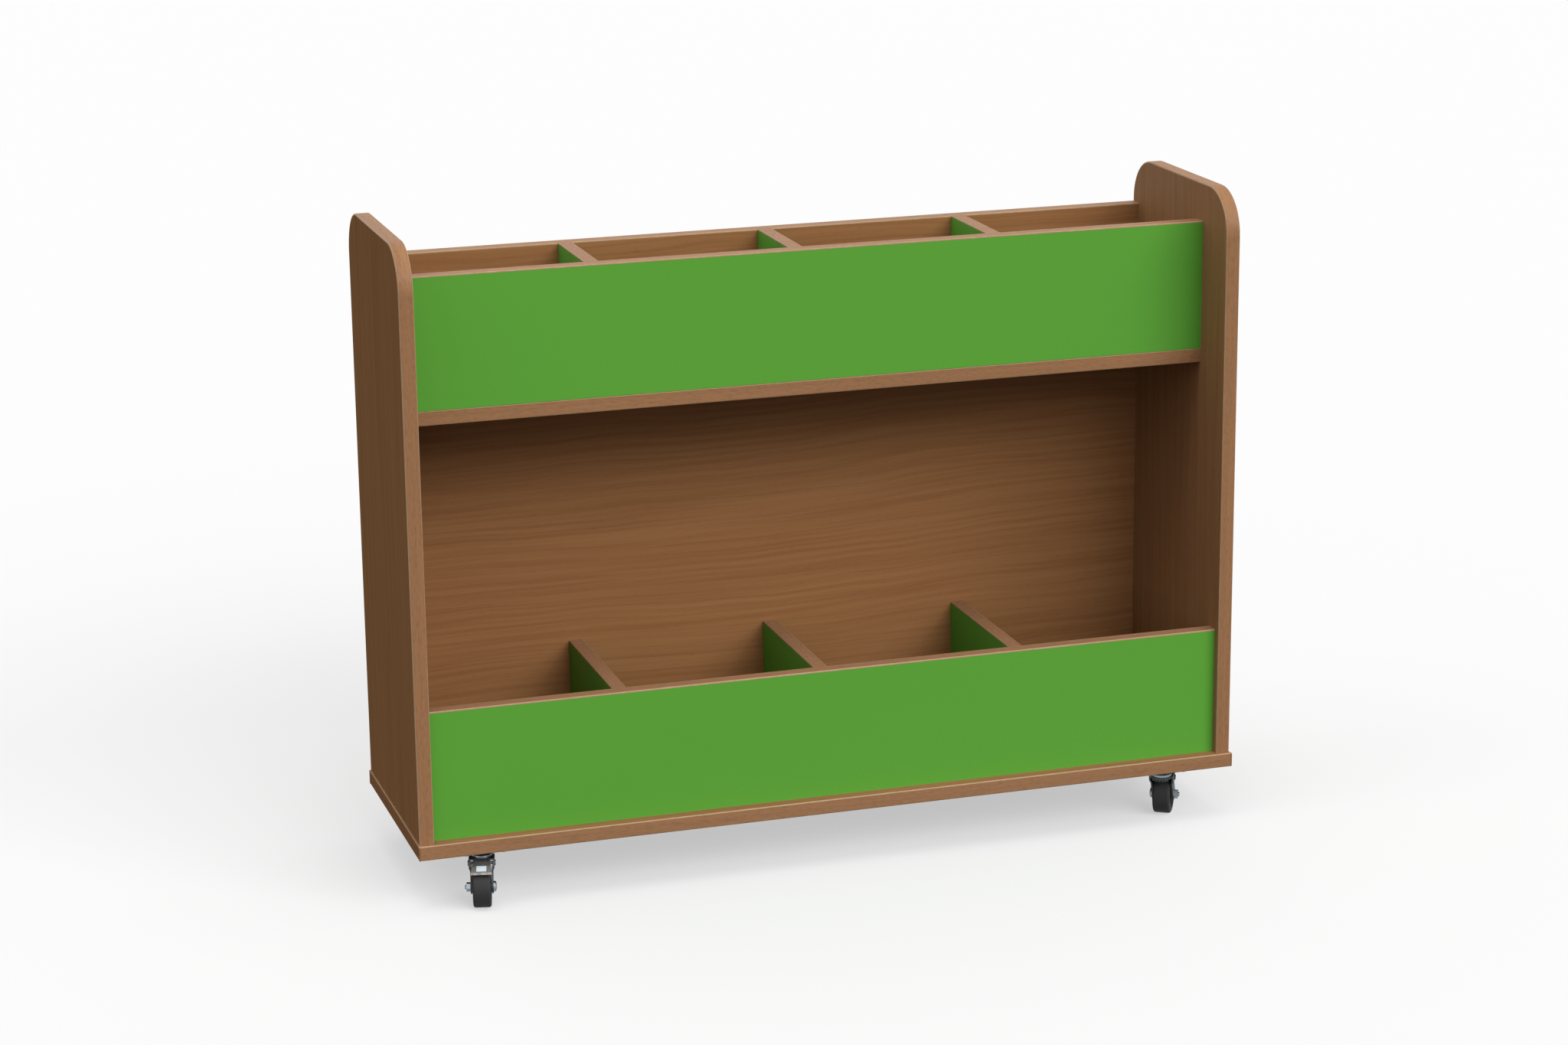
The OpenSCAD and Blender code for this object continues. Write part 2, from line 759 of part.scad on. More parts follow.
module brake_pedal(i) {
    color(steel_grey) at_castor(i) difference() {
        union() {
            pedal_sheet();
            translate([pedal_pin_s, 0, pedal_pin_z]) rotate([90, 0, 0])
                cylinder(r = pedal_eye_r, h = 2 * pedal_in_w, center = true);
            translate([pedal_bend[0], -pad_s / 2, pedal_bend[1]]) rotate([0, -pedal_slope, 0])
                translate([-pad_s / 12, 0, -pad_h]) cube([0.9 * pad_s, pad_s, 2 * pad_h]);
        }
        translate([pedal_pin_s, 0, pedal_pin_z]) rotate([90, 0, 0])
            cylinder(d = pedal_pin_d + 2 * run, h = 4 * pedal_in_w, center = true);
    }
}

module pedal_pin(i) {
    color(zinc) at_castor(i) translate([pedal_pin_s, 0, pedal_pin_z]) rotate([90, 0, 0]) {
        cylinder(d = pedal_pin_d, h = 2 * shoulder_w + pedal_head_h, center = true);
        for (m = [0, 1]) mirror([0, 0, m]) translate([0, 0, shoulder_w])
            cylinder(d = pedal_head_d, h = pedal_head_h);
    }
}

base_board();
base_edging();
side_panel(-1);  // left_side_panel
side_edging(-1);  // left_side_edging
side_panel(1);  // right_side_panel
side_edging(1);  // right_side_edging
back_panel();
top_edging([-x_in, y_back - board_t / 2, z_floor + back_h - edge_t], 0, 2 * x_in);  // back_panel_edging
upper_shelf();
upper_shelf_edging();
front_panel(y_up, z_tier);  // upper_front_panel
top_edging([-x_in, y_up + board_t / 2, z_tier + front_h - edge_t], 0, 2 * x_in);  // upper_front_edging
front_panel(y_low, z_floor);  // lower_front_panel
top_edging([-x_in, y_low + board_t / 2, z_floor + front_h - edge_t], 0, 2 * x_in);  // lower_front_edging
divider(0, up_div_y0, z_tier);  // upper_divider_1
divider(1, up_div_y0, z_tier);  // upper_divider_2
divider(2, up_div_y0, z_tier);  // upper_divider_3
divider_edgings(up_div_y0, z_tier);  // upper_divider_edgings
divider(0, low_div_y0, z_floor);  // lower_divider_1
divider(1, low_div_y0, z_floor);  // lower_divider_2
divider(2, low_div_y0, z_floor);  // lower_divider_3
divider_edgings(low_div_y0, z_floor);  // lower_divider_edgings
panel_screws();
panel_dowels();
cam_housings();
cam_bolts();
castor_screws();
kingpins();
swivel_balls();
castor_plate(0);  // plate_fl
castor_plate(1);  // plate_fr
castor_plate(2);  // plate_rl
castor_plate(3);  // plate_rr
fork(0, true);  // fork_fl
fork(1, true);  // fork_fr
fork(2, false);  // fork_rl
fork(3, false);  // fork_rr
axle_bolt(0);  // axle_bolt_fl
axle_bolt(1);  // axle_bolt_fr
axle_bolt(2);  // axle_bolt_rl
axle_bolt(3);  // axle_bolt_rr
axle_nut(0);  // axle_nut_fl
axle_nut(1);  // axle_nut_fr
axle_nut(2);  // axle_nut_rl
axle_nut(3);  // axle_nut_rr
wheel_hub(0);  // wheel_hub_fl
wheel_hub(1);  // wheel_hub_fr
wheel_hub(2);  // wheel_hub_rl
wheel_hub(3);  // wheel_hub_rr
tyre(0);  // tyre_fl
tyre(1);  // tyre_fr
tyre(2);  // tyre_rl
tyre(3);  // tyre_rr
brake_pedal(0);  // brake_pedal_fl
brake_pedal(1);  // brake_pedal_fr
pedal_pin(0);  // pedal_pin_fl
pedal_pin(1);  // pedal_pin_fr
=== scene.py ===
"""Mobile two-tier bookcase: finishes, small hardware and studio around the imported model.

Metres, +Z up, front towards -Y, origin on the floor under the middle of the base board.
"""
import json
import math

import bmesh
import bpy
from bpy.props import FloatProperty, FloatVectorProperty, PointerProperty
from mathutils import Matrix, Vector


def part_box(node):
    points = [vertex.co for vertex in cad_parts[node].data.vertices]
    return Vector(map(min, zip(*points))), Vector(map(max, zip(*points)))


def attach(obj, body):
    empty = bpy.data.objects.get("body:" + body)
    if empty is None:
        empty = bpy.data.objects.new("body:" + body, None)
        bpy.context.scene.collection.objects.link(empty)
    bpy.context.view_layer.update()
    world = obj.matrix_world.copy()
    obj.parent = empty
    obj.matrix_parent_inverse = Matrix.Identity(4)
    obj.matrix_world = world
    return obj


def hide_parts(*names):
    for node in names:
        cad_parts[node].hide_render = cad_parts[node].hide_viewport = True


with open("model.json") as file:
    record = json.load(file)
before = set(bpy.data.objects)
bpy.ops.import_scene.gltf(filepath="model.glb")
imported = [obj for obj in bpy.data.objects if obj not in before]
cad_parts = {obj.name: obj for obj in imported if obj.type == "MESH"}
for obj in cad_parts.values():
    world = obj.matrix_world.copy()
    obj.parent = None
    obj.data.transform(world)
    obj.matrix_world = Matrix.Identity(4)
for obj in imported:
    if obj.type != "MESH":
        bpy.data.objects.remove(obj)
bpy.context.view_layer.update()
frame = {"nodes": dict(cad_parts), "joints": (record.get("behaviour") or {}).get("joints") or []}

bl_info = {
    "name": "Mobile Bookcase",
    "version": (1, 0, 0),
    "blender": (4, 5, 0),
    "location": "3D View > Sidebar > Bookcase",
    "description": "Finishes, small hardware and studio for a two-tier bookcase on castors",
    "category": "Object",
}

# Thickness of every board
BOARD = round(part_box("base_board")[1].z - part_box("base_board")[0].z, 6)
# Castors by corner, front or rear and left or right, and those with a brake
CORNERS = ("fl", "fr", "rl", "rr")
BRAKED = ("fl", "fr")
WHITE = (1.0, 1.0, 1.0)

# Cells per metre of the patterns on beech: along the grain, across it and through the board
BEND_CELLS = (1.1, 2.6, 3.0)
WAVE_CELLS = (7.0, 11.0, 5.0)
BAND_CELLS = (1.3, 46.0, 9.0)
STREAK_CELLS = (3.2, 190.0, 14.0)
PORE_CELLS = (95.0, 1300.0, 60.0)
CLOUD_CELLS = (0.8, 1.7, 1.0)
FLECK_CELLS = (120.0, 760.0, 4.0)
REFLECTION_PATCH_CELLS = (9.0, 60.0, 9.0)
# The same for the rings in a tyre's wall: along its radius and its axis
RING_CELLS = (2600.0, 300.0, 0.0)
# Cells per metre of the patterns that are alike in every direction
GREEN_CLOUD, GREEN_SPECKLE, GREEN_SMEAR, GREEN_PEEL = 3.2, 900.0, 14.0, 620.0
PLATING_CLOUD, PLATING_SPOTS, PLATING_RUBS, PLATING_WARMTH = 110.0, 420.0, 1500.0, 46.0
PEDAL_CLOUD, PEDAL_GRIME, TYRE_SCUFF, HUB_WEAR, HUB_GRAIN = 160.0, 300.0, 520.0, 130.0, 700.0
# How much of the dark colour the bands and the streaks bring, and the wood's mean share of it
BAND_DEPTH, STREAK_DEPTH = 0.14, 0.34
MEAN_TONE = (BAND_DEPTH + STREAK_DEPTH) / 2

# Profiles of the fasteners' heads: shares of the head's height and of its radius
PAN_HEAD = ((0.0, 0.70), (0.3, 0.94), (0.6, 1.0), (1.0, 1.0))
FLAT_HEAD = ((0.0, 0.93), (0.15, 1.0), (0.7, 1.0))
DOMED_HEAD = ((0.0, 1.0), (0.55, 1.0), (0.70, 0.94), (0.85, 0.83), (1.0, 0.60))

# Distance at which the points of stacked solids are welded
WELD = 0.000005
# Half of the floor's width, distance of the lamps, and width in millimetres of the sensor that
# the focal length goes with
FLOOR_HALF = 45.0
LAMP_DISTANCE = 8.0
SENSOR_WIDTH = 36.0


# ---------------------------------------------------------------- sizes and colours

class BoardFinishes(bpy.types.PropertyGroup):
    """Laminates and edgings of the carcass"""
    beech: FloatVectorProperty(
        name="Beech", description="Ground colour of the beech laminate",
        subtype="COLOR", size=3, min=0, max=1, default=(0.288, 0.145, 0.063))
    beech_dark: FloatVectorProperty(
        name="Beech Streaks", description="Colour of the streaks and pores in the beech laminate",
        subtype="COLOR", size=3, min=0, max=1, default=(0.170, 0.066, 0.024))
    edging: FloatVectorProperty(
        name="Edging", description="Ground colour of the edging bands",
        subtype="COLOR", size=3, min=0, max=1, default=(0.298, 0.150, 0.070))
    edging_dark: FloatVectorProperty(
        name="Edging Flecks", description="Colour of the flecks in the edging bands",
        subtype="COLOR", size=3, min=0, max=1, default=(0.170, 0.080, 0.036))
    # The scraped arris colour is scraped wear, and partly a painted highlight along the rounded
    # arrises
    arris: FloatVectorProperty(
        name="Scraped Arris", description="Colour of the scraped arrises of the edging bands",
        subtype="COLOR", size=3, min=0, max=1, default=(0.510, 0.385, 0.250))
    # The settled dust colour is a pale film painted on the lower bins' top edges: a painted
    # reflection, not dust
    dust: FloatVectorProperty(
        name="Settled Dust", description="Colour of the fine dust on edges that face up",
        subtype="COLOR", size=3, min=0, max=1, default=(0.50, 0.50, 0.50))
    low_edge_reflection: FloatProperty(
        name="Dust on Low Edges", description="Share of dust over the lower bins' top edges",
        min=0, max=1, default=0.03)
    green: FloatVectorProperty(
        name="Green", description="Colour of the green laminate",
        subtype="COLOR", size=3, min=0, max=1, default=(0.094, 0.314, 0.036))
    drift: FloatProperty(
        name="Grain Drift", description="How far the grain wanders across a board",
        unit="LENGTH", min=0, max=0.2, default=0.075)
    ripple: FloatProperty(
        name="Grain Ripple", description="How far the grain ripples on its way along a board",
        unit="LENGTH", min=0, max=0.05, default=0.012)
    corner: FloatProperty(
        name="Side Corner Radius", description="Radius of the side panels' top corners",
        unit="LENGTH", min=0.02, max=0.1, default=0.055)
    # The scraped line is wear, and partly a painted highlight
    arris_width: FloatProperty(
        name="Arris Width", description="Width of the scraped line along each arris",
        unit="LENGTH", min=0.0002, max=0.002, default=0.0009)


class HardwareFinishes(bpy.types.PropertyGroup):
    """Screws, bolts and castors"""
    zinc: FloatVectorProperty(
        name="Zinc", description="Colour of the zinc-plated steel",
        subtype="COLOR", size=3, min=0, max=1, default=(0.34, 0.38, 0.41))
    # The fork colour is zinc painted very dark: painted shade and dark reflections under the base
    # board
    fork: FloatVectorProperty(
        name="Fork", description="Colour of the dulled zinc on the forks and top plates",
        subtype="COLOR", size=3, min=0, max=1, default=(0.062, 0.071, 0.075))
    steel: FloatVectorProperty(
        name="Steel", description="Colour of the plain steel fixings",
        subtype="COLOR", size=3, min=0, max=1, default=(0.40, 0.40, 0.41))
    pedal: FloatVectorProperty(
        name="Pedal", description="Colour of the pressed brake pedals",
        subtype="COLOR", size=3, min=0, max=1, default=(0.245, 0.232, 0.210))
    # The pad colour is a painted reflection on the raised pads of the brake pedals
    pad: FloatVectorProperty(
        name="Pedal Pad", description="Colour of the bright raised pads on the brake pedals",
        subtype="COLOR", size=3, min=0, max=1, default=(0.68, 0.78, 0.84))
    rubber: FloatVectorProperty(
        name="Rubber", description="Colour of the tyres",
        subtype="COLOR", size=3, min=0, max=1, default=(0.016, 0.0168, 0.017))
    dust: FloatVectorProperty(
        name="Floor Dust", description="Colour of the dust that the treads pick up",
        subtype="COLOR", size=3, min=0, max=1, default=(0.055, 0.054, 0.052))
    hub: FloatVectorProperty(
        name="Hub", description="Colour of the moulded wheel hubs",
        subtype="COLOR", size=3, min=0, max=1, default=(0.045, 0.050, 0.054))
    dowel: FloatVectorProperty(
        name="Dowel", description="Colour of the beech dowels",
        subtype="COLOR", size=3, min=0, max=1, default=(0.56, 0.38, 0.20))
    recess_depth: FloatProperty(
        name="Recess Depth", description="Depth of the driver recesses in the screw heads",
        unit="LENGTH", min=0.0005, max=0.003, default=0.0015)
    cross_width: FloatProperty(
        name="Cross Width", description="Width across the cross recess of the castor screws",
        unit="LENGTH", min=0.002, max=0.006, default=0.0046)
    hex_width: FloatProperty(
        name="Socket Width", description="Width across the hexagon sockets of the panel screws",
        unit="LENGTH", min=0.002, max=0.006, default=0.0046)
    thread_pitch: FloatProperty(
        name="Thread Pitch", description="Pitch of the axle bolts' thread",
        unit="LENGTH", min=0.0005, max=0.002, default=0.001)


class StudioSettings(bpy.types.PropertyGroup):
    """Floor, lamps and camera"""
    floor: FloatVectorProperty(
        name="Floor", description="Colour of the floor where it is seen",
        subtype="COLOR", size=3, min=0, max=1, default=(0.68, 0.68, 0.68))
    floor_glow: FloatProperty(
        name="Floor Glow", description="How far the seen floor turns to plain white",
        min=0, max=1, default=0.5)
    floor_bounce: FloatProperty(
        name="Floor Bounce", description="How much of the light the floor throws back up",
        min=0, max=1, default=0.0)
    sky: FloatProperty(
        name="Room Light", description="Strength of the even light from all round",
        min=0, max=2, default=0.78)
    key: FloatProperty(
        name="Key Strength", description="Strength of each of the two key lamps",
        min=0, max=10, default=1.14)
    key_turn: FloatProperty(
        name="Key Direction", description="How far right of the front the key lamps stand",
        subtype="ANGLE", default=math.radians(25))
    key_apart: FloatProperty(
        name="Key Spacing", description="Angle between the two key lamps as the object sees them",
        subtype="ANGLE", default=math.radians(30))
    key_rise: FloatProperty(
        name="Key Height", description="Height of the key lamps above the horizon",
        subtype="ANGLE", default=math.radians(32))
    fill: FloatProperty(
        name="Fill Strength", description="Strength of the weaker lamp at the left",
        min=0, max=10, default=0.30)
    fill_turn: FloatProperty(
        name="Fill Direction", description="How far right of the front the fill lamp stands",
        subtype="ANGLE", default=math.radians(-80))
    fill_rise: FloatProperty(
        name="Fill Height", description="Height of the fill lamp above the horizon",
        subtype="ANGLE", default=math.radians(52))
    top: FloatProperty(
        name="Top Strength", description="Strength of the lamp overhead",
        min=0, max=10, default=0.60)
    top_turn: FloatProperty(
        name="Top Direction", description="How far right of the front the overhead lamp leans",
        subtype="ANGLE", default=math.radians(-20))
    top_rise: FloatProperty(
        name="Top Height", description="Height of the overhead lamp above the horizon",
        subtype="ANGLE", default=math.radians(75))
    lamp_spread: FloatProperty(
        name="Lamp Spread", description="Angle that each lamp fills as the object sees it",
        subtype="ANGLE", default=math.radians(28))
    eye: FloatVectorProperty(
        name="Camera Place", description="Where the camera stands",
        subtype="TRANSLATION", unit="LENGTH", size=3, default=(-1.3371, -4.21235, 1.60567))
    eye_yaw: FloatProperty(
        name="Camera Yaw", description="Turn of the camera to the right of straight ahead",
        subtype="ANGLE", default=math.radians(17.36))
    eye_pitch: FloatProperty(
        name="Camera Pitch", description="Tilt of the camera below the horizon",
        subtype="ANGLE", default=math.radians(15.23))
    eye_roll: FloatProperty(
        name="Camera Roll", description="Roll of the camera about its view",
        subtype="ANGLE", default=math.radians(-0.64))
    lens: FloatProperty(
        name="Focal Length", description="Focal length of the camera in millimetres",
        min=20, max=300, default=84.33)


# ---------------------------------------------------------------- node trees

def pick(sockets, key):
    """The socket with this index, identifier or name."""
    if isinstance(key, int):
        return sockets[key]
    for socket in sockets:
        if socket.identifier == key:
            return socket
    return next(s for s in sockets if s.name == key and s.enabled)


def emptied(owner):
    """The node tree of a material or a world, with nothing in it."""
    owner.use_nodes = True
    owner.node_tree.nodes.clear()
    return owner.node_tree


def tinted(colour, tint):
    """A colour times one share, or times a share for each of its channels."""
    shares = tint if isinstance(tint, tuple) else (tint,) * 3
    return [channel * share for channel, share in zip(colour, shares)]


class Wire:
    """A socket that takes part in Python expressions on values."""

    def __init__(self, tree, socket):
        self.tree, self.socket = tree, socket

    def calc(self, operation, *values):
        """A Math node on these values."""
        return self.tree.node("ShaderNodeMath", {"operation": operation}, dict(enumerate(values)))

    def __add__(self, other):
        return self.calc("ADD", self, other)

    def __radd__(self, other):
        return self.calc("ADD", other, self)

    def __sub__(self, other):
        return self.calc("SUBTRACT", self, other)

    def __rsub__(self, other):
        return self.calc("SUBTRACT", other, self)

    def __mul__(self, other):
        return self.calc("MULTIPLY", self, other)

    def __rmul__(self, other):
        return self.calc("MULTIPLY", other, self)

    def __truediv__(self, other):
        return self.calc("DIVIDE", self, other)

    def __rtruediv__(self, other):
        return self.calc("DIVIDE", other, self)

    def __neg__(self):
        return self.calc("MULTIPLY", self, -1.0)

    def __abs__(self):
        return self.calc("ABSOLUTE", self)

    def __gt__(self, other):
        return self.calc("GREATER_THAN", self, other)

    def low(self, other):
        """The lower of two values."""
        return self.calc("MINIMUM", self, other)

    def high(self, other):
        """The higher of two values."""
        return self.calc("MAXIMUM", self, other)


class Tree:
    """A node tree that is filled from Python."""

    def __init__(self, tree):
        self.tree = tree

    def make(self, kind, settings=(), inputs=()):
        """A new node, with its settings set before the values and links of its sockets."""
        node = self.tree.nodes.new(kind)
        for name, value in dict(settings).items():
            setattr(node, name, value)
        for key, value in dict(inputs).items():
            socket = pick(node.inputs, key)
            many = isinstance(value, tuple) and isinstance(value[0], Wire)
            for one in value if many else (value,):
                if isinstance(one, Wire):
                    self.tree.links.new(one.socket, socket)
                elif socket.type == "RGBA":
                    socket.default_value = (*one[:3], 1.0)
                else:
                    socket.default_value = one
        return node

    def node(self, kind, settings=(), inputs=(), out=0):
        """One output of a new node."""
        return Wire(self, pick(self.make(kind, settings, inputs).outputs, out))

    def join(self, x, y, z):
        """A vector from three values."""
        return self.node("ShaderNodeCombineXYZ", inputs={0: x, 1: y, 2: z})

    def mix(self, a, b, share):
        """The colour that turns from a to b as the share goes from 0 to 1."""
        return self.node("ShaderNodeMix", {"data_type": "RGBA"},
                         {"Factor_Float": share, "A_Color": a, "B_Color": b}, "Result_Color")


class Finish(Tree):
    """A material in the making."""

    def __init__(self, name):
        self.material = bpy.data.materials.new(name)
        super().__init__(emptied(self.material))

    def place(self):
        """Position on the piece, as one vector and as a value for each axis."""
        at = self.node("ShaderNodeTexCoord", out="Object")
        parts = self.make("ShaderNodeSeparateXYZ", inputs={0: at})
        return at, {socket.name: Wire(self, socket) for socket in parts.outputs}

    def away(self, at, centre):
        """The vector to a position from a centre."""
        return self.node("ShaderNodeVectorMath", {"operation": "SUBTRACT"}, {0: at, 1: centre})

    def dot(self, a, b):
        """Dot product of two vectors."""
        return self.node("ShaderNodeVectorMath", {"operation": "DOT_PRODUCT"}, {0: a, 1: b},
                         "Value")

    def noise(self, at, scale, detail=2.0, roughness=0.5):
        """Cloudy values about one half, in scale cells per metre."""
        return self.node("ShaderNodeTexNoise", inputs={
            "Vector": at, "Scale": scale, "Detail": detail, "Roughness": roughness})

    def streaks(self, places, cells, **kind):
        """Noise with its own number of cells per metre along each of three places."""
        return self.noise(self.join(*(p * count for p, count in zip(places, cells))), 1.0, **kind)

    def fade(self, value, start, end, low=0.0, high=1.0):
        """A smooth turn from low to high while the value goes from start to end."""
        return self.node("ShaderNodeMapRange", {"interpolation_type": "SMOOTHSTEP"}, {
            "Value": value, "From Min": start, "From Max": end, "To Min": low, "To Max": high})

    def scaled(self, colour, value):
        """A colour made lighter or darker by a value."""
        return self.node("ShaderNodeVectorMath", {"operation": "SCALE"},
                         {0: colour, "Scale": value})

    def bump(self, height, distance, strength):
        """Relief from heights in shares of a distance."""
        return self.node("ShaderNodeBump", inputs={
            "Height": height, "Distance": distance, "Strength": strength})

    def surface(self, **inputs):
        """The shader and the material's output. Names are the sockets', with _ for a space."""
        inputs = {name.replace("_", " "): value for name, value in inputs.items()}
        shader = self.node("ShaderNodeBsdfPrincipled", inputs=inputs)
        self.make("ShaderNodeOutputMaterial", inputs={"Surface": shader})
        return self.material


class Shape(Tree):
    """A Geometry Nodes tree in the making, with named inputs."""

    def __init__(self, name, **sizes):
        super().__init__(bpy.data.node_groups.new(name, "GeometryNodeTree"))
        self.sizes = sizes
        face = self.tree.interface
        face.new_socket("Geometry", in_out="INPUT", socket_type="NodeSocketGeometry")
        face.new_socket("Geometry", in_out="OUTPUT", socket_type="NodeSocketGeometry")
        for size, value in sizes.items():
            socket = face.new_socket(size, in_out="INPUT", socket_type="NodeSocketFloat")
            socket.default_value = value
        self.given = self.tree.nodes.new("NodeGroupInput")

    def size(self, name):
        """A named input of the tree."""
        return Wire(self, self.given.outputs[name])

    def raised(self, solid, lift):
        """A solid moved up along Z."""
        return self.node("GeometryNodeTransform", inputs={
            "Geometry": solid, "Translation": self.join(0.0, 0.0, lift)})

    def cone(self, bottom, top, depth, lift, sides=24):
        """A round solid about Z from the height lift upwards."""
        solid = self.node("GeometryNodeMeshCone", inputs={
            "Vertices": sides, "Radius Top": top, "Radius Bottom": bottom, "Depth": depth})
        return self.raised(solid, lift)

    def turned(self, rings, sides=24):
        """A closed round solid about Z through rings, each given by its height and radius."""
        joined = self.joined(*(self.cone(bottom, top, end - start, start, sides)
                               for (start, bottom), (end, top) in zip(rings, rings[1:])))
        return self.node("GeometryNodeMergeByDistance", inputs={
            "Geometry": joined, "Distance": WELD})

    def joined(self, *solids):
        """Solids as one geometry."""
        return self.node("GeometryNodeJoinGeometry", inputs={"Geometry": solids})

    def cut(self, solid, tool):
        """A solid with the tool's shape taken out of it."""
        return self.node("GeometryNodeMeshBoolean",
                         {"operation": "DIFFERENCE", "solver": "EXACT"},
                         {"Mesh 1": solid, "Mesh 2": tool})

    def at_points(self, solid, material):
        """Puts the solid on every point of the given mesh, turned to the point's aim."""
        aim = self.node("GeometryNodeInputNamedAttribute", {"data_type": "FLOAT_VECTOR"},
                        {"Name": "aim"}, "Attribute")
        turn = self.node("FunctionNodeAlignRotationToVector", {"axis": "Z"}, {"Vector": aim})
        placed = self.node("GeometryNodeInstanceOnPoints", inputs={
            "Points": self.size("Geometry"), "Instance": solid, "Rotation": turn})
        real = self.node("GeometryNodeRealizeInstances", inputs={"Geometry": placed})
        done = self.node("GeometryNodeSetMaterial", inputs={
            "Geometry": real, "Material": material})
        self.make("NodeGroupOutput", inputs={"Geometry": done})

    def piece(self, name, places):
        """A plain mesh object, from (point, direction) pairs and the tree's own sizes."""
        seed = bpy.data.meshes.new(name + "_places")
        seed.from_pydata([point for point, _ in places], [], [])
        aim = seed.attributes.new("aim", "FLOAT_VECTOR", "POINT")
        for i, (_, direction) in enumerate(places):
            aim.data[i].vector = direction
        maker = bpy.data.objects.new(name + "_places", seed)
        bpy.context.scene.collection.objects.link(maker)
        modifier = maker.modifiers.new("shape", "NODES")
        modifier.node_group = self.tree
        for item in self.tree.interface.items_tree:
            if item.in_out == "INPUT" and item.name in self.sizes:
                modifier[item.identifier] = self.sizes[item.name]
        depsgraph = bpy.context.evaluated_depsgraph_get()
        shaped = maker.evaluated_get(depsgraph)
        mesh = bpy.data.meshes.new_from_object(shaped, depsgraph=depsgraph)
        bpy.data.objects.remove(maker)
        mesh.name = name
        result = bpy.data.objects.new(name, mesh)
        bpy.context.scene.collection.objects.link(result)
        return result


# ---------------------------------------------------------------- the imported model

def dress(material, *nodes):
    """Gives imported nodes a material."""
    for name in nodes:
        mesh = frame["nodes"][name].data
        mesh.materials.clear()
        mesh.materials.append(material)


def joint(name):
    """A joint of the frame by its name."""
    return next(j for j in frame["joints"] if j["name"] == name)


def castor(corner):
    """Swivel place, wheel centre, wheel axis and trailing direction of a castor."""
    swivel = Vector(joint("swivel_" + corner)["pos_m"])
    roll = joint("roll_" + corner)
    centre = Vector(roll["pos_m"])
    trail = (centre - swivel) * Vector((1, 1, 0))
    return swivel, centre, Vector(roll["axis"]), trail.normalized()


def loose_parts(node):
    """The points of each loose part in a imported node."""
    shape = bmesh.new()
    shape.from_mesh(frame["nodes"][node].data)
    bmesh.ops.remove_doubles(shape, verts=shape.verts, dist=1e-6)
    left, parts = set(shape.verts), []
    while left:
        rim, points = [left.pop()], []
        while rim:
            vert = rim.pop()
            points.append(vert.co.copy())
            for edge in vert.link_edges:
                other = edge.other_vert(vert)
                if other in left:
                    left.discard(other)
                    rim.append(other)
        parts.append(points)
    shape.free()
    return parts


def fastener_places(node):
    """Head point and direction, from its head to its tip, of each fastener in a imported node."""
    places = []
    for points in loose_parts(node):
        low = Vector(map(min, *points))
        high = Vector(map(max, *points))
        middle, span = (low + high) / 2, high - low
        along = max(range(3), key=lambda k: span[k])
        across = [k for k in range(3) if k != along]
        wide = max(points, key=lambda p: max(abs((p - middle)[k]) for k in across))
        towards_tip = 1.0 if wide[along] < middle[along] else -1.0
        direction = Vector([towards_tip if k == along else 0.0 for k in range(3)])
        places.append((middle - direction * span[along] / 2, direction))
    return sorted(places, key=lambda place: tuple(round(c, 4) for c in place[0]))


# ---------------------------------------------------------------- board finishes

def wood_figure(f, along, across, through, drift, ripple, fine=1.0):
    """Share of the dark colour in the bands and streaks of printed wood, and its pores as
    dashes, from a position along the grain, across it and through the board. A higher fine
    packs the bands and streaks closer."""
    bend = f.streaks((along, across, through), BEND_CELLS, detail=1.5) - 0.5
    wave = f.streaks((along, across, through), WAVE_CELLS, detail=1.0) - 0.5
    bent = across + bend * drift + wave * ripple
    bands = f.streaks((along, bent * fine, through), BAND_CELLS, detail=3.0, roughness=0.6)
    streaks = f.streaks((along, bent * fine, through), STREAK_CELLS, detail=3.0, roughness=0.6)
    pores = f.streaks((along, bent, through), PORE_CELLS, detail=1.0)
    tone = f.fade(bands, 0.30, 0.74) * BAND_DEPTH + f.fade(streaks, 0.34, 0.70) * STREAK_DEPTH
    return tone, f.fade(pores, 0.60, 0.76)


def beech_laminate(name, grain, face, drift, start=(0.0, 0.0), gloss=0.05, rough=0.5, fine=1.0,
                   figure=1.0, tint=1.0):
    """Printed beech laminate with its grain along one axis, on a face that spans another.
    start is where the print begins, and figure is how strongly its streaks show."""
    boards = bpy.context.scene.bookcase_boards
    f = Finish(name)
    _, axes = f.place()
    through = axes[next(axis for axis in "XYZ" if axis not in (grain, face))]
    along, across = axes[grain] + start[0], axes[face] + start[1]
    tone, dashes = wood_figure(f, along, across, through, drift, boards.ripple * fine, fine)
    tone = tone * figure + MEAN_TONE * (1.0 - figure)
    cloud = f.streaks((along, across, through), CLOUD_CELLS, detail=1.0)
    # tint gives lighter or darker copies of the beech, which the side panels take as painted
    # light and shade
    colour = f.mix(tinted(boards.beech, tint), tinted(boards.beech_dark, tint),
                   tone + dashes * 0.26)
    colour = f.scaled(colour, f.fade(cloud, 0.25, 0.75, 0.98, 1.02))
    relief = f.bump(dashes * -1.0 + tone * 0.4, 0.00005, 0.5)
    return f.surface(Base_Color=colour, Roughness=rough - 0.05 * tone + dashes * 0.1,
                     Specular_IOR_Level=gloss, Normal=relief)


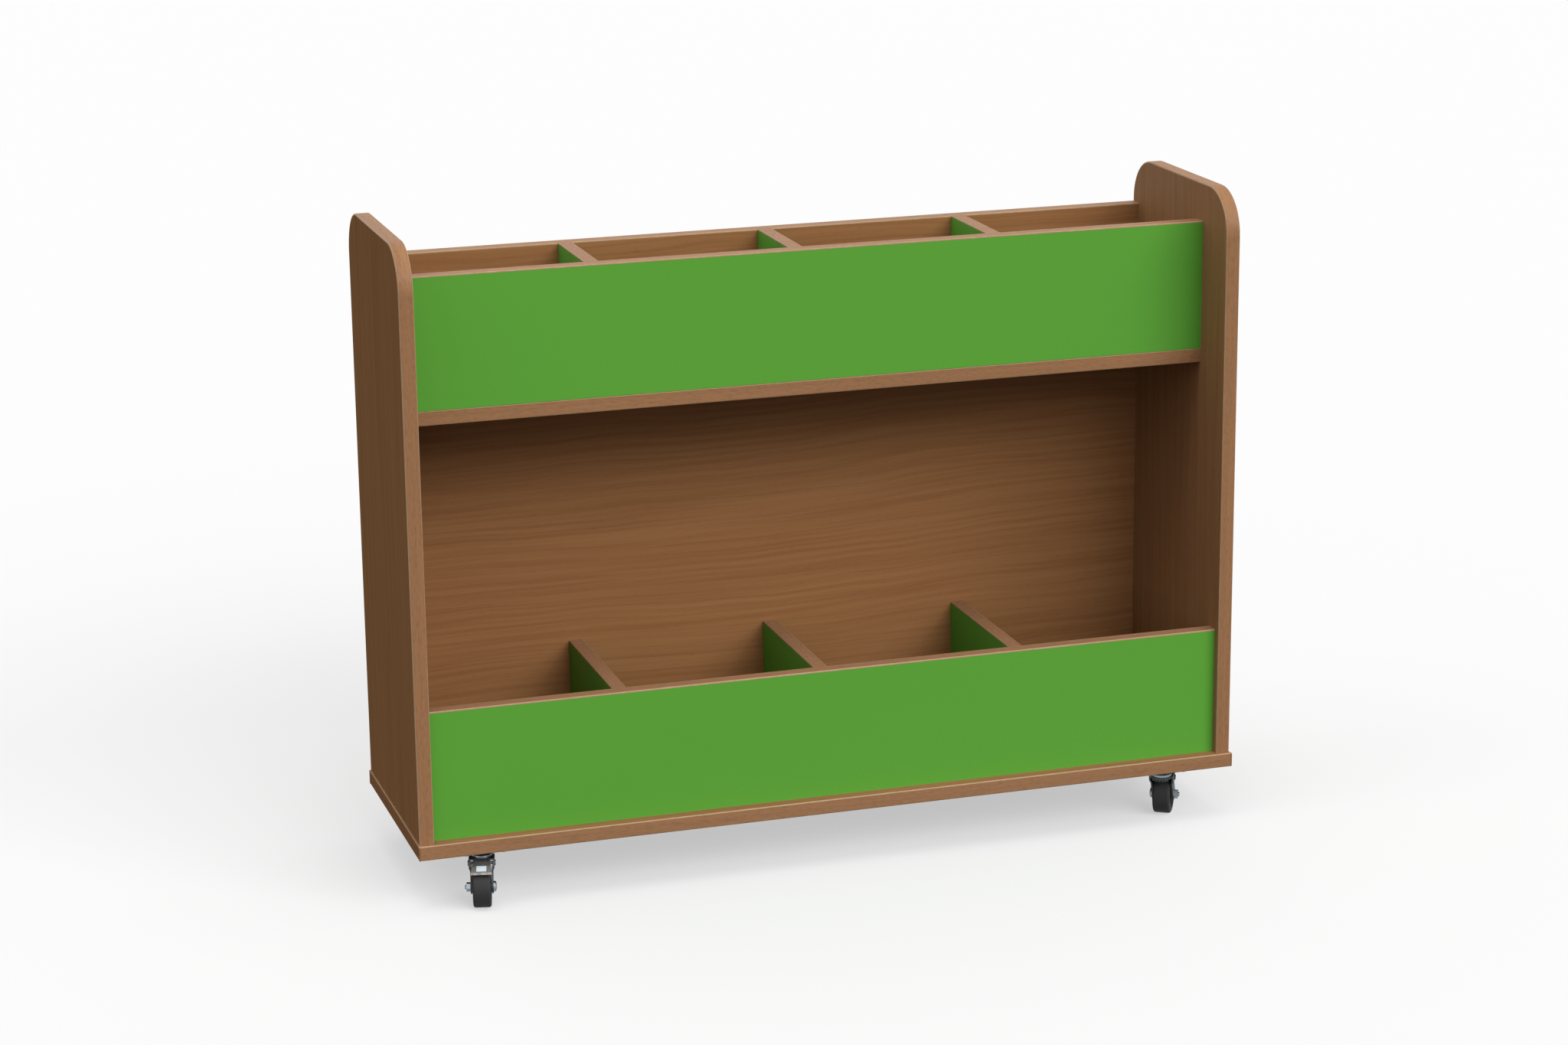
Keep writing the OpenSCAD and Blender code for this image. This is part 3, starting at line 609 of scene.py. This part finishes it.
def edging_finish(name, along, across, painted_reflection=0.0, matt_and_shaded=None):
    """Beech-print edging with flecks, and a paler line along its arrises: scraped wear, and
    partly a painted highlight.
    along and across take the position on each axis and give the length along the band and the
    distance from its middle line. The end mask gives 1 where a lacquered band is left dull and
    painted darker as shade, and a band without it has one low gloss all over. A pale film on top
    edges is a painted reflection."""
    boards = bpy.context.scene.bookcase_boards
    f = Finish(name)
    _, axes = f.place()
    run, off = along(axes), across(axes)
    # A slanting third place, so that no two bands show the same flecks
    slant = axes["X"] * 0.31 + axes["Y"] * 0.43 + axes["Z"] * 0.37
    tone, dashes = wood_figure(f, run, off, slant * 0.2, drift=0.004, ripple=0.002, fine=1.6)
    flecks = f.fade(f.streaks((run, off, slant), FLECK_CELLS), 0.46, 0.66)
    colour = f.mix(boards.edging, boards.edging_dark, tone * 0.6 + dashes * 0.20 + flecks * 0.32)
    # A paler, shinier line along each arris: scraped wear, and partly a painted highlight on the
    # rounded arris
    arris = BOARD / 2 - boards.arris_width
    line = f.fade(abs(off), arris - 0.0004, arris + 0.0002)
    colour = f.mix(colour, boards.arris, line * (0.28 + 0.20 * flecks))
    # A pale patchy film over the band: a painted reflection on top edges
    if painted_reflection:
        reflection_patches = f.streaks((run, off, slant), REFLECTION_PATCH_CELLS)
        colour = f.mix(colour, boards.dust, f.fade(reflection_patches, 0.3, 0.7, 0.8, 1.2) * painted_reflection)
    shine = {"Specular_IOR_Level": 0.16}
    if matt_and_shaded:
        dull_and_shaded = matt_and_shaded(axes)
        # The dull ends are also painted darker: painted shade
        colour = f.scaled(colour, 1.0 - 0.16 * dull_and_shaded)
        shine = {"Specular_IOR_Level": 0.0, "Coat_Weight": 0.55 * (1.0 - dull_and_shaded),
                 "Coat_Roughness": 0.46}
    relief = f.bump(dashes * -0.6 + flecks * -0.5, 0.00006, 0.5)
    return f.surface(Base_Color=colour, Roughness=0.46 + flecks * 0.08 - line * 0.06,
                     Normal=relief, **shine)


def green_laminate():
    """Plain green laminate with a faint speckle, its fine peel and handled, smeared gloss."""
    f = Finish("green_laminate")
    at, _ = f.place()
    cloud = f.fade(f.noise(at, GREEN_CLOUD), 0.3, 0.7, 0.99, 1.01)
    speckle = f.fade(f.noise(at, GREEN_SPECKLE), 0.3, 0.7, 0.985, 1.015)
    smear = f.noise(at, GREEN_SMEAR, detail=3.0)
    peel = f.bump(f.noise(at, GREEN_PEEL, detail=1.5), 0.00002, 0.4)
    colour = f.scaled(bpy.context.scene.bookcase_boards.green, cloud * speckle)
    return f.surface(Base_Color=colour, Roughness=f.fade(smear, 0.3, 0.7, 0.44, 0.52),
                     Specular_IOR_Level=0.10, Normal=peel)


def from_middle(axis, node):
    """A function that gives the distance from a node's middle plane along an axis."""
    low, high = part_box(node)
    k = "XYZ".index(axis)
    middle = (low[k] + high[k]) / 2
    return lambda axes: axes[axis] - middle


def side_band_run(node, corner):
    """A function that gives the length along a side panel's edging, from its foot up, round its
    corner and along its top to the middle."""
    low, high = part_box(node)
    middle, bend_z = (low.y + high.y) / 2, high.z - corner
    flat = (high.y - low.y) / 2 - corner

    def run(axes):
        out = abs(axes["Y"] - middle) - flat
        above = (axes["Z"] - bend_z).high(0.0)
        turn = above.calc("ARCTAN2", above, out.high(0.0))
        return axes["Z"].low(bend_z) + turn * corner + (-out).high(0.0)
    return run


class BOOKCASE_OT_beech_boards(bpy.types.Operator):
    """Finish the base board, side panels, back panel and upper shelf in beech laminate"""
    bl_idname = "bookcase.beech_boards"
    bl_label = "Finish Beech Boards"

    def execute(self, context):
        drift = context.scene.bookcase_boards.drift
        # The left side's beech is a darker copy: painted shade on its outer face
        dress(beech_laminate("beech_left_side", "Z", "Y", drift * 0.5, gloss=0.0, rough=0.62,
                             fine=0.55, figure=0.6, tint=(0.93, 0.94, 0.95)), "left_side_panel")
        # The right side's beech is a lighter, cooler copy: painted light and bluish sheen on its
        # inner face
        dress(beech_laminate("beech_right_side", "Z", "Y", drift * 0.5, start=(3.7, 1.369),
                             gloss=0.07, rough=0.58, fine=0.7, figure=0.8,
                             tint=(1.0, 1.02, 1.07)), "right_side_panel")
        dress(beech_laminate("beech_back", "X", "Z", drift, start=(1.9, 0.703),
                             tint=(1.0, 0.945, 0.89)), "back_panel")
        dress(beech_laminate("beech_level", "X", "Y", drift * 0.6, start=(5.3, 1.961)),
              "base_board", "upper_shelf")
        return {"FINISHED"}


class BOOKCASE_OT_edgings(bpy.types.Operator):
    """Finish every edging band, with its flecks along the band and its arrises paler: scraped,
    and partly a painted highlight
    """
    bl_idname = "bookcase.edgings"
    bl_label = "Finish Edgings"

    def execute(self, context):
        boards = context.scene.bookcase_boards
        for side in ("left", "right"):
            node = side + "_side_edging"
            dress(edging_finish("edging_%s_side" % side, side_band_run(node, boards.corner),
                                from_middle("X", node)), node)
        # The lower front edging takes the pale film: a painted reflection on its top
        for board, off, painted_reflection in (
                ("back_panel", "Y", 0.0), ("upper_shelf", "Z", 0.0), ("upper_front", "Y", 0.0),
                ("lower_front", "Y", boards.low_edge_reflection)):
            node = board + "_edging"
            dress(edging_finish(board + "_band", lambda axes: axes["X"], from_middle(off, node),
                                painted_reflection), node)
        # Past the ends of the base board its edging runs along Y, is dull, and is painted darker
        # as shade
        board_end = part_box("base_board")[1].x - 0.0001

        def base_end(axes):
            return abs(axes["X"]) > board_end

        def base_run(axes):
            return axes["X"] * (1.0 - base_end(axes)) + axes["Y"] * base_end(axes)
        dress(edging_finish("base_band", base_run, from_middle("Z", "base_edging"),
                            matt_and_shaded=base_end), "base_edging")
        # A tier's dividers stand in the middle and at the same distance on either side
        # The lower dividers' edgings take the pale film: a painted reflection on their tops
        for tier, painted_reflection in (("upper", 0.0), ("lower", boards.low_edge_reflection)):
            node = tier + "_divider_edgings"
            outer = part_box(node)[1].x - BOARD / 2
            dress(edging_finish(tier + "_divider_band", lambda axes: axes["Y"],
                                lambda axes: abs(axes["X"]).low(abs(abs(axes["X"]) - outer)),
                                painted_reflection), node)
        return {"FINISHED"}


class BOOKCASE_OT_green_boards(bpy.types.Operator):
    """Finish the front panels and dividers in green laminate"""
    bl_idname = "bookcase.green_boards"
    bl_label = "Finish Green Boards"

    def execute(self, context):
        dress(green_laminate(), "upper_front_panel", "lower_front_panel",
              *("%s_divider_%d" % (tier, i) for tier in ("upper", "lower") for i in (1, 2, 3)))
        return {"FINISHED"}


# ---------------------------------------------------------------- metal, rubber and plastic

def plating(f, at):
    """Clouds and dull spots of plated metal, and its relief with fine rubs."""
    cloud = f.noise(at, PLATING_CLOUD, detail=3.0, roughness=0.6)
    spots = f.fade(f.noise(at, PLATING_SPOTS), 0.60, 0.72)
    relief = f.bump(f.noise(at, PLATING_RUBS) + cloud, 0.00003, 0.4)
    return f.fade(cloud, 0.35, 0.7), spots, relief


def plated(name, colour, metal=1.0, rough=0.30, stain=0.25):
    """Bright plated or plain steel, clouded and warmer in places."""
    f = Finish(name)
    at, _ = f.place()
    cloud, spots, relief = plating(f, at)
    tone = f.mix(colour, tinted(colour, 0.62), cloud * 0.5 + spots * stain)
    warmer = f.fade(f.noise(at, PLATING_WARMTH), 0.55, 0.72) * 0.35
    return f.surface(Base_Color=f.mix(tone, tinted(colour, (0.92, 0.80, 0.58)), warmer),
                     Metallic=metal, Normal=relief, Roughness=rough + 0.16 * cloud + spots * 0.2)


def fork_zinc(corner):
    """Zinc of a fork, rough and painted very dark as shade, with the cup of its ball race painted
    brighter as a highlight.
    """
    hardware = bpy.context.scene.bookcase_hardware
    f = Finish("fork_zinc_" + corner)
    at, axes = f.place()
    cup_height = 0.003
    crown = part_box("fork_" + corner)[1].z - cup_height
    cup_highlight = f.fade(axes["Z"], crown, crown + 0.0004)
    cloud, spots, relief = plating(f, at)
    # The dark fork colour is painted shade, and the cup's brighter zinc is a painted highlight
    dull_and_shaded = f.mix(hardware.fork, tinted(hardware.fork, 0.55), cloud * 0.6 + spots * 0.2)
    return f.surface(Base_Color=f.mix(dull_and_shaded, hardware.zinc, cup_highlight * (0.8 - 0.2 * spots)),
                     Metallic=0.95, Normal=relief, Roughness=0.38 + 0.16 * cloud - cup_highlight * 0.14)


def pedal_steel(corner):
    """Dull pressed steel of a brake pedal, with a painted reflection in pale bluish white on its
    raised pad.
    """
    hardware = bpy.context.scene.bookcase_hardware
    swivel, centre, _, trail = castor(corner)
    f = Finish("pedal_steel_" + corner)
    at, axes = f.place()
    reach = f.dot(f.away(at, swivel), trail)
    # The sheet's top is flat over the tyre as far as its bend, and falls with a slope past it
    over_tyre, past_axle, slope = 0.0036, 0.008, 0.336
    flat_top = 2 * centre.z + over_tyre
    bend = (centre - swivel).dot(trail) + past_axle
    over = axes["Z"] - flat_top + (reach - bend).high(0.0) * slope
    pad = f.fade(over, 0.0001, 0.0003) * (reach > bend)
    cloud = f.noise(at, PEDAL_CLOUD, detail=3.0, roughness=0.6)
    grime = f.fade(f.noise(at, PEDAL_GRIME, detail=3.0), 0.45, 0.65)
    base = f.mix(hardware.pedal, tinted(hardware.pedal, 0.55), grime * 0.7)
    # The raised pad is painted pale bluish white and made less metallic: a painted reflection
    base = f.mix(base, hardware.pad, pad * (0.80 + 0.20 * cloud))
    relief = f.bump(cloud + grime * 0.4, 0.00005, 0.5)
    return f.surface(Base_Color=base, Metallic=0.6 - 0.4 * pad, Normal=relief,
                     Roughness=0.50 + 0.12 * grime - pad * 0.15)


def tyre_rubber(corner):
    """Black rubber with a moulding line round the tread and dust where it meets the floor."""
    hardware = bpy.context.scene.bookcase_hardware
    _, centre, axis, _ = castor(corner)
    f = Finish("tyre_rubber_" + corner)
    at, _ = f.place()
    spoke = f.away(at, centre)
    side = f.dot(spoke, axis)
    square = (f.dot(spoke, spoke) - side * side).high(0.0)
    radius = square.calc("SQRT", square)
    outside = centre.z
    tread = f.fade(radius, outside - 0.0025, outside - 0.0001)
    scuff = f.fade(f.noise(at, TYRE_SCUFF, detail=3.0, roughness=0.6), 0.44, 0.66)
    seam = 1.0 - f.fade(abs(side), 0.0001, 0.0006)
    rings = f.fade(f.streaks((radius, side, 0.0), RING_CELLS, detail=1.0), 0.4, 0.6)
    colour = f.mix(hardware.rubber, hardware.dust,
                   tread * (0.22 + 0.20 * scuff) + (1.0 - tread) * scuff * 0.12)
    relief = f.bump(seam * tread * 2.0 + scuff * 0.4 + rings * (1.0 - tread) * 0.4, 0.00008, 0.6)
    return f.surface(Base_Color=colour, Roughness=0.58 + 0.22 * scuff, Specular_IOR_Level=0.2,
                     Normal=relief)


def hub_plastic():
    """Dark moulded plastic of the wheel hubs, dusty where it is worn."""
    hardware = bpy.context.scene.bookcase_hardware
    f = Finish("hub_plastic")
    at, _ = f.place()
    worn = f.fade(f.noise(at, HUB_WEAR, detail=3.0), 0.5, 0.7)
    return f.surface(Base_Color=f.mix(hardware.hub, hardware.dust, worn * 0.4),
                     Roughness=0.45 + 0.2 * worn,
                     Normal=f.bump(f.noise(at, HUB_GRAIN), 0.00005, 0.4))


def turned_dowel():
    """Pale turned beech with its fine grain."""
    hardware = bpy.context.scene.bookcase_hardware
    f = Finish("turned_dowel")
    _, axes = f.place()
    tone, dashes = wood_figure(f, axes["X"], axes["Y"], axes["Z"], drift=0.002, ripple=0.001,
                               fine=2.0)
    colour = f.mix(hardware.dowel, tinted(hardware.dowel, 0.6), tone + dashes * 0.3)
    return f.surface(Base_Color=colour, Roughness=0.6 + dashes * 0.1,
                     Normal=f.bump(dashes, 0.00005, 0.5))


class BOOKCASE_OT_joinery(bpy.types.Operator):
    """Finish the dowels, cam housings and cam bolts"""
    bl_idname = "bookcase.joinery"
    bl_label = "Finish Joinery"

    def execute(self, context):
        hardware = context.scene.bookcase_hardware
        dress(turned_dowel(), "panel_dowels")
        dress(plated("cast_cam", hardware.steel, metal=0.9, rough=0.42, stain=0.4),
              "cam_housings")
        dress(plated("cam_bolt_zinc", hardware.zinc, rough=0.32), "cam_bolts")
        return {"FINISHED"}


class BOOKCASE_OT_castor_screws(bpy.types.Operator):
    """Make the pan-head screws of the castor plates, with cross recesses"""
    bl_idname = "bookcase.castor_screws"
    bl_label = "Make Castor Screws"

    def execute(self, context):
        hardware = context.scene.bookcase_hardware
        shape = Shape("cross_screw", Head=0.00425, Height=0.0026, Shank=0.00225, Length=0.0191,
                      Recess=hardware.cross_width, Depth=hardware.recess_depth)
        head, height, recess = shape.size("Head"), shape.size("Height"), shape.size("Recess")
        body = shape.turned([(height * z, head * r) for z, r in PAN_HEAD])
        slot = 0.26
        for wide, deep in ((1.0, slot), (slot, 1.0)):
            body = shape.cut(body, shape.node("GeometryNodeMeshCube", inputs={
                "Size": shape.join(recess * wide, recess * deep, shape.size("Depth") * 2.0)}))
        shank = shape.cone(shape.size("Shank"), shape.size("Shank"),
                           shape.size("Length") - height, height, sides=16)
        shape.at_points(shape.joined(body, shank), plated("screw_zinc", hardware.zinc))
        piece = shape.piece("castor_screw_set", fastener_places("castor_screws"))
        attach(piece, "carcass")
        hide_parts("castor_screws")
        return {"FINISHED"}


class BOOKCASE_OT_panel_screws(bpy.types.Operator):
    """Make the panel screws that hold the boards, with hexagon sockets in their flat heads"""
    bl_idname = "bookcase.panel_screws"
    bl_label = "Make Panel Screws"

    def execute(self, context):
        hardware = context.scene.bookcase_hardware
        shape = Shape("socket_screw", Head=0.005, Height=0.003, Neck=0.0035, Board=BOARD,
                      Core=0.0025, Length=0.050, Socket=hardware.hex_width / math.sqrt(3),
                      Depth=hardware.recess_depth * 1.3)
        head, height, neck = shape.size("Head"), shape.size("Height"), shape.size("Neck")
        board, core, depth = shape.size("Board"), shape.size("Core"), shape.size("Depth")
        body = shape.turned([(height * z, head * r) for z, r in FLAT_HEAD] + [(height, neck)])
        body = shape.cut(body, shape.cone(shape.size("Socket"), shape.size("Socket"),
                                          depth * 2.0, -depth, sides=6))
        shank = shape.cone(neck, neck, board - height, height, sides=16)
        tip = shape.cone(core, core * 0.7, shape.size("Length") - board, board, sides=12)
        shape.at_points(shape.joined(body, shank, tip),
                        plated("panel_screw_steel", hardware.steel, rough=0.36))
        piece = shape.piece("panel_screw_set", fastener_places("panel_screws"))
        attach(piece, "carcass")
        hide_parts("panel_screws")
        return {"FINISHED"}


class BOOKCASE_OT_axle_bolts(bpy.types.Operator):
    """Make the axle bolts, with domed heads and a thread past their nuts"""
    bl_idname = "bookcase.axle_bolts"
    bl_label = "Make Axle Bolts"

    def execute(self, context):
        hardware = context.scene.bookcase_hardware
        shape = Shape("axle_bolt", Shank=0.003, Reach=0.0138, Head=0.0065, Height=0.0037,
                      Thread=0.007, Pitch=hardware.thread_pitch)
        shank, reach, head = shape.size("Shank"), shape.size("Reach"), shape.size("Head")
        height, thread = shape.size("Height"), shape.size("Thread")
        dome = shape.turned([(reach + height * z, head * r) for z, r in DOMED_HEAD], sides=32)
        body = shape.cone(shank, shank, reach * 2.0, -reach)
        # Past its plain shank the bolt is a thinner core, with the thread's ridge wound round it
        root, full = shank * 0.88, thread * 0.92
        core = shape.turned([(-reach - thread, root * 0.8), (-reach - full, root),
                             (-reach, root)])
        line = shape.node("GeometryNodeCurveSpiral", inputs={
            "Resolution": 16, "Rotations": full / shape.size("Pitch"),
            "Start Radius": root, "End Radius": root, "Height": full})
        ridge = shape.node("GeometryNodeCurveToMesh", inputs={
            "Curve": line, "Fill Caps": True,
            "Profile Curve": shape.node("GeometryNodeCurvePrimitiveCircle", {"mode": "RADIUS"}, {
                "Resolution": 4, "Radius": shank - root}, "Curve")})
        ridge = shape.raised(ridge, -reach - thread * 0.95)
        shape.at_points(shape.joined(dome, body, core, ridge),
                        plated("axle_zinc", hardware.zinc, rough=0.26))
        for corner in CORNERS:
            _, centre, axis, _ = castor(corner)
            piece = shape.piece("axle_bolt_set_" + corner, [(centre, axis)])
            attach(piece, "castor_" + corner)
            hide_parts("axle_bolt_" + corner)
        return {"FINISHED"}


class BOOKCASE_OT_castors(bpy.types.Operator):
    """Finish the castor plates, forks, races, nuts, pedals, hubs and tyres"""
    bl_idname = "bookcase.castors"
    bl_label = "Finish Castors"

    def execute(self, context):
        hardware = context.scene.bookcase_hardware
        # The top plates take the fork's very dark colour: painted shade under the base board
        dress(plated("castor_zinc", hardware.fork), *("plate_" + corner for corner in CORNERS))
        dress(plated("turned_zinc", hardware.zinc, rough=0.24, stain=0.1), "kingpins",
              *("axle_nut_" + corner for corner in CORNERS))
        dress(plated("ball_steel", hardware.steel, rough=0.12, stain=0.0), "swivel_balls")
        dress(hub_plastic(), *("wheel_hub_" + corner for corner in CORNERS))
        for corner in CORNERS:
            dress(fork_zinc(corner), "fork_" + corner)
            dress(tyre_rubber(corner), "tyre_" + corner)
        dress(plated("pedal_pin_zinc", tinted(hardware.zinc, 0.42), rough=0.42),
              *("pedal_pin_" + corner for corner in BRAKED))
        for corner in BRAKED:
            dress(pedal_steel(corner), "brake_pedal_" + corner)
        return {"FINISHED"}


# ---------------------------------------------------------------- floor, lamps and camera

def seen_directly(f):
    """1 where the camera sees a surface, straight on or mirrored in metal or through glass."""
    rays = f.make("ShaderNodeLightPath").outputs
    camera, glossy, through = (Wire(f, rays[name]) for name in (
        "Is Camera Ray", "Is Glossy Ray", "Is Transmission Ray"))
    return camera.high(glossy).high(through)


def lay_floor(studio):
    """A pale floor that takes shadows, and is seen nearer to plain white."""
    mesh = bpy.data.meshes.new("studio_floor")
    mesh.from_pydata([(x * FLOOR_HALF, y * FLOOR_HALF, 0.0)
                      for x, y in ((-1, -1), (1, -1), (1, 1), (-1, 1))], [], [(0, 1, 2, 3)])
    floor = bpy.data.objects.new("studio_floor", mesh)
    bpy.context.scene.collection.objects.link(floor)
    f = Finish("studio_floor")
    seen = seen_directly(f)
    colour = f.mix([studio.floor_bounce] * 3, studio.floor, seen)
    paper = f.node("ShaderNodeMixShader", inputs={
        "Fac": seen * studio.floor_glow,
        1: f.node("ShaderNodeBsdfDiffuse", inputs={"Color": colour}),
        2: f.node("ShaderNodeEmission", inputs={"Color": WHITE, "Strength": 1.0})})
    f.make("ShaderNodeOutputMaterial", inputs={"Surface": paper})
    mesh.materials.append(f.material)


def light_room(studio):
    """Even light from all round, plain white where it is seen."""
    world = bpy.data.worlds.new("studio_room")
    room = Tree(emptied(world))
    shade = room.mix([studio.sky] * 3, WHITE, seen_directly(room))
    light = room.node("ShaderNodeBackground", inputs={"Color": shade, "Strength": 1.0})
    room.make("ShaderNodeOutputWorld", inputs={"Surface": light})
    bpy.context.scene.world = world


def add_sun(name, strength, turn, rise, spread):
    """A lamp whose light comes from turn right of the front and rise above the horizon."""
    lamp = bpy.data.lights.new(name, "SUN")
    lamp.energy, lamp.angle = strength, spread
    sun = bpy.data.objects.new(name, lamp)
    towards = Vector((math.sin(turn) * math.cos(rise), -math.cos(turn) * math.cos(rise),
                      math.sin(rise)))
    sun.matrix_world = (Matrix.Translation(towards * LAMP_DISTANCE)
                        @ towards.to_track_quat("Z", "Y").to_matrix().to_4x4())
    bpy.context.scene.collection.objects.link(sun)


def set_camera(studio):
    """The camera, from its place, yaw, pitch and roll."""
    lens = bpy.data.cameras.new("photo_camera")
    lens.lens, lens.sensor_width, lens.sensor_fit = studio.lens, SENSOR_WIDTH, "HORIZONTAL"
    lens.clip_start, lens.clip_end = 0.1, 300.0
    eye = bpy.data.objects.new("photo_camera", lens)
    yaw, pitch, roll = studio.eye_yaw, studio.eye_pitch, studio.eye_roll
    ahead = Vector((math.sin(yaw) * math.cos(pitch), math.cos(yaw) * math.cos(pitch),
                    -math.sin(pitch)))
    level = Vector((math.cos(yaw), -math.sin(yaw), 0.0))
    upright = level.cross(ahead)
    right = level * math.cos(roll) + upright * math.sin(roll)
    up = upright * math.cos(roll) - level * math.sin(roll)
    turn = Matrix((right, up, -ahead)).transposed().to_4x4()
    eye.matrix_world = Matrix.Translation(studio.eye) @ turn
    bpy.context.scene.collection.objects.link(eye)
    bpy.context.scene.camera = eye


class BOOKCASE_OT_stage(bpy.types.Operator):
    """Lay the pale floor, hang the soft lamps and set up the camera"""
    bl_idname = "bookcase.stage"
    bl_label = "Set Up Studio"

    def execute(self, context):
        studio = context.scene.bookcase_studio
        lay_floor(studio)
        light_room(studio)
        half = studio.key_apart / 2
        for name, strength, turn, rise in (
                ("key_lamp_front", studio.key, studio.key_turn - half, studio.key_rise),
                ("key_lamp_right", studio.key, studio.key_turn + half, studio.key_rise),
                ("fill_lamp", studio.fill, studio.fill_turn, studio.fill_rise),
                ("top_lamp", studio.top, studio.top_turn, studio.top_rise)):
            add_sun(name, strength, turn, rise, studio.lamp_spread)
        set_camera(studio)
        context.scene.view_settings.view_transform = "Standard"
        return {"FINISHED"}


# ---------------------------------------------------------------- panel and registration

OPERATORS = (BOOKCASE_OT_beech_boards, BOOKCASE_OT_edgings, BOOKCASE_OT_green_boards,
             BOOKCASE_OT_joinery, BOOKCASE_OT_castor_screws, BOOKCASE_OT_panel_screws,
             BOOKCASE_OT_axle_bolts, BOOKCASE_OT_castors, BOOKCASE_OT_stage)


class BOOKCASE_PT_workshop(bpy.types.Panel):
    """Sizes, colours and steps of the bookcase"""
    bl_idname = "BOOKCASE_PT_workshop"
    bl_label = "Mobile Bookcase"
    bl_space_type = "VIEW_3D"
    bl_region_type = "UI"
    bl_category = "Bookcase"

    def draw(self, context):
        layout = self.layout
        for step in OPERATORS:
            layout.operator(step.bl_idname)
        for group in (context.scene.bookcase_boards, context.scene.bookcase_hardware,
                      context.scene.bookcase_studio):
            box = layout.box()
            for name in group.__annotations__:
                box.prop(group, name)


CLASSES = (BoardFinishes, HardwareFinishes, StudioSettings, *OPERATORS, BOOKCASE_PT_workshop)


def register():
    for cls in CLASSES:
        bpy.utils.register_class(cls)
    bpy.types.Scene.bookcase_boards = PointerProperty(type=BoardFinishes)
    bpy.types.Scene.bookcase_hardware = PointerProperty(type=HardwareFinishes)
    bpy.types.Scene.bookcase_studio = PointerProperty(type=StudioSettings)


def unregister():
    del bpy.types.Scene.bookcase_studio
    del bpy.types.Scene.bookcase_hardware
    del bpy.types.Scene.bookcase_boards
    for cls in reversed(CLASSES):
        bpy.utils.unregister_class(cls)


def main():
    register()
    bpy.ops.bookcase.beech_boards()
    bpy.ops.bookcase.edgings()
    bpy.ops.bookcase.green_boards()
    bpy.ops.bookcase.joinery()
    bpy.ops.bookcase.castor_screws()
    bpy.ops.bookcase.panel_screws()
    bpy.ops.bookcase.axle_bolts()
    bpy.ops.bookcase.castors()
    bpy.ops.bookcase.stage()


if __name__ == "__main__":
    main()
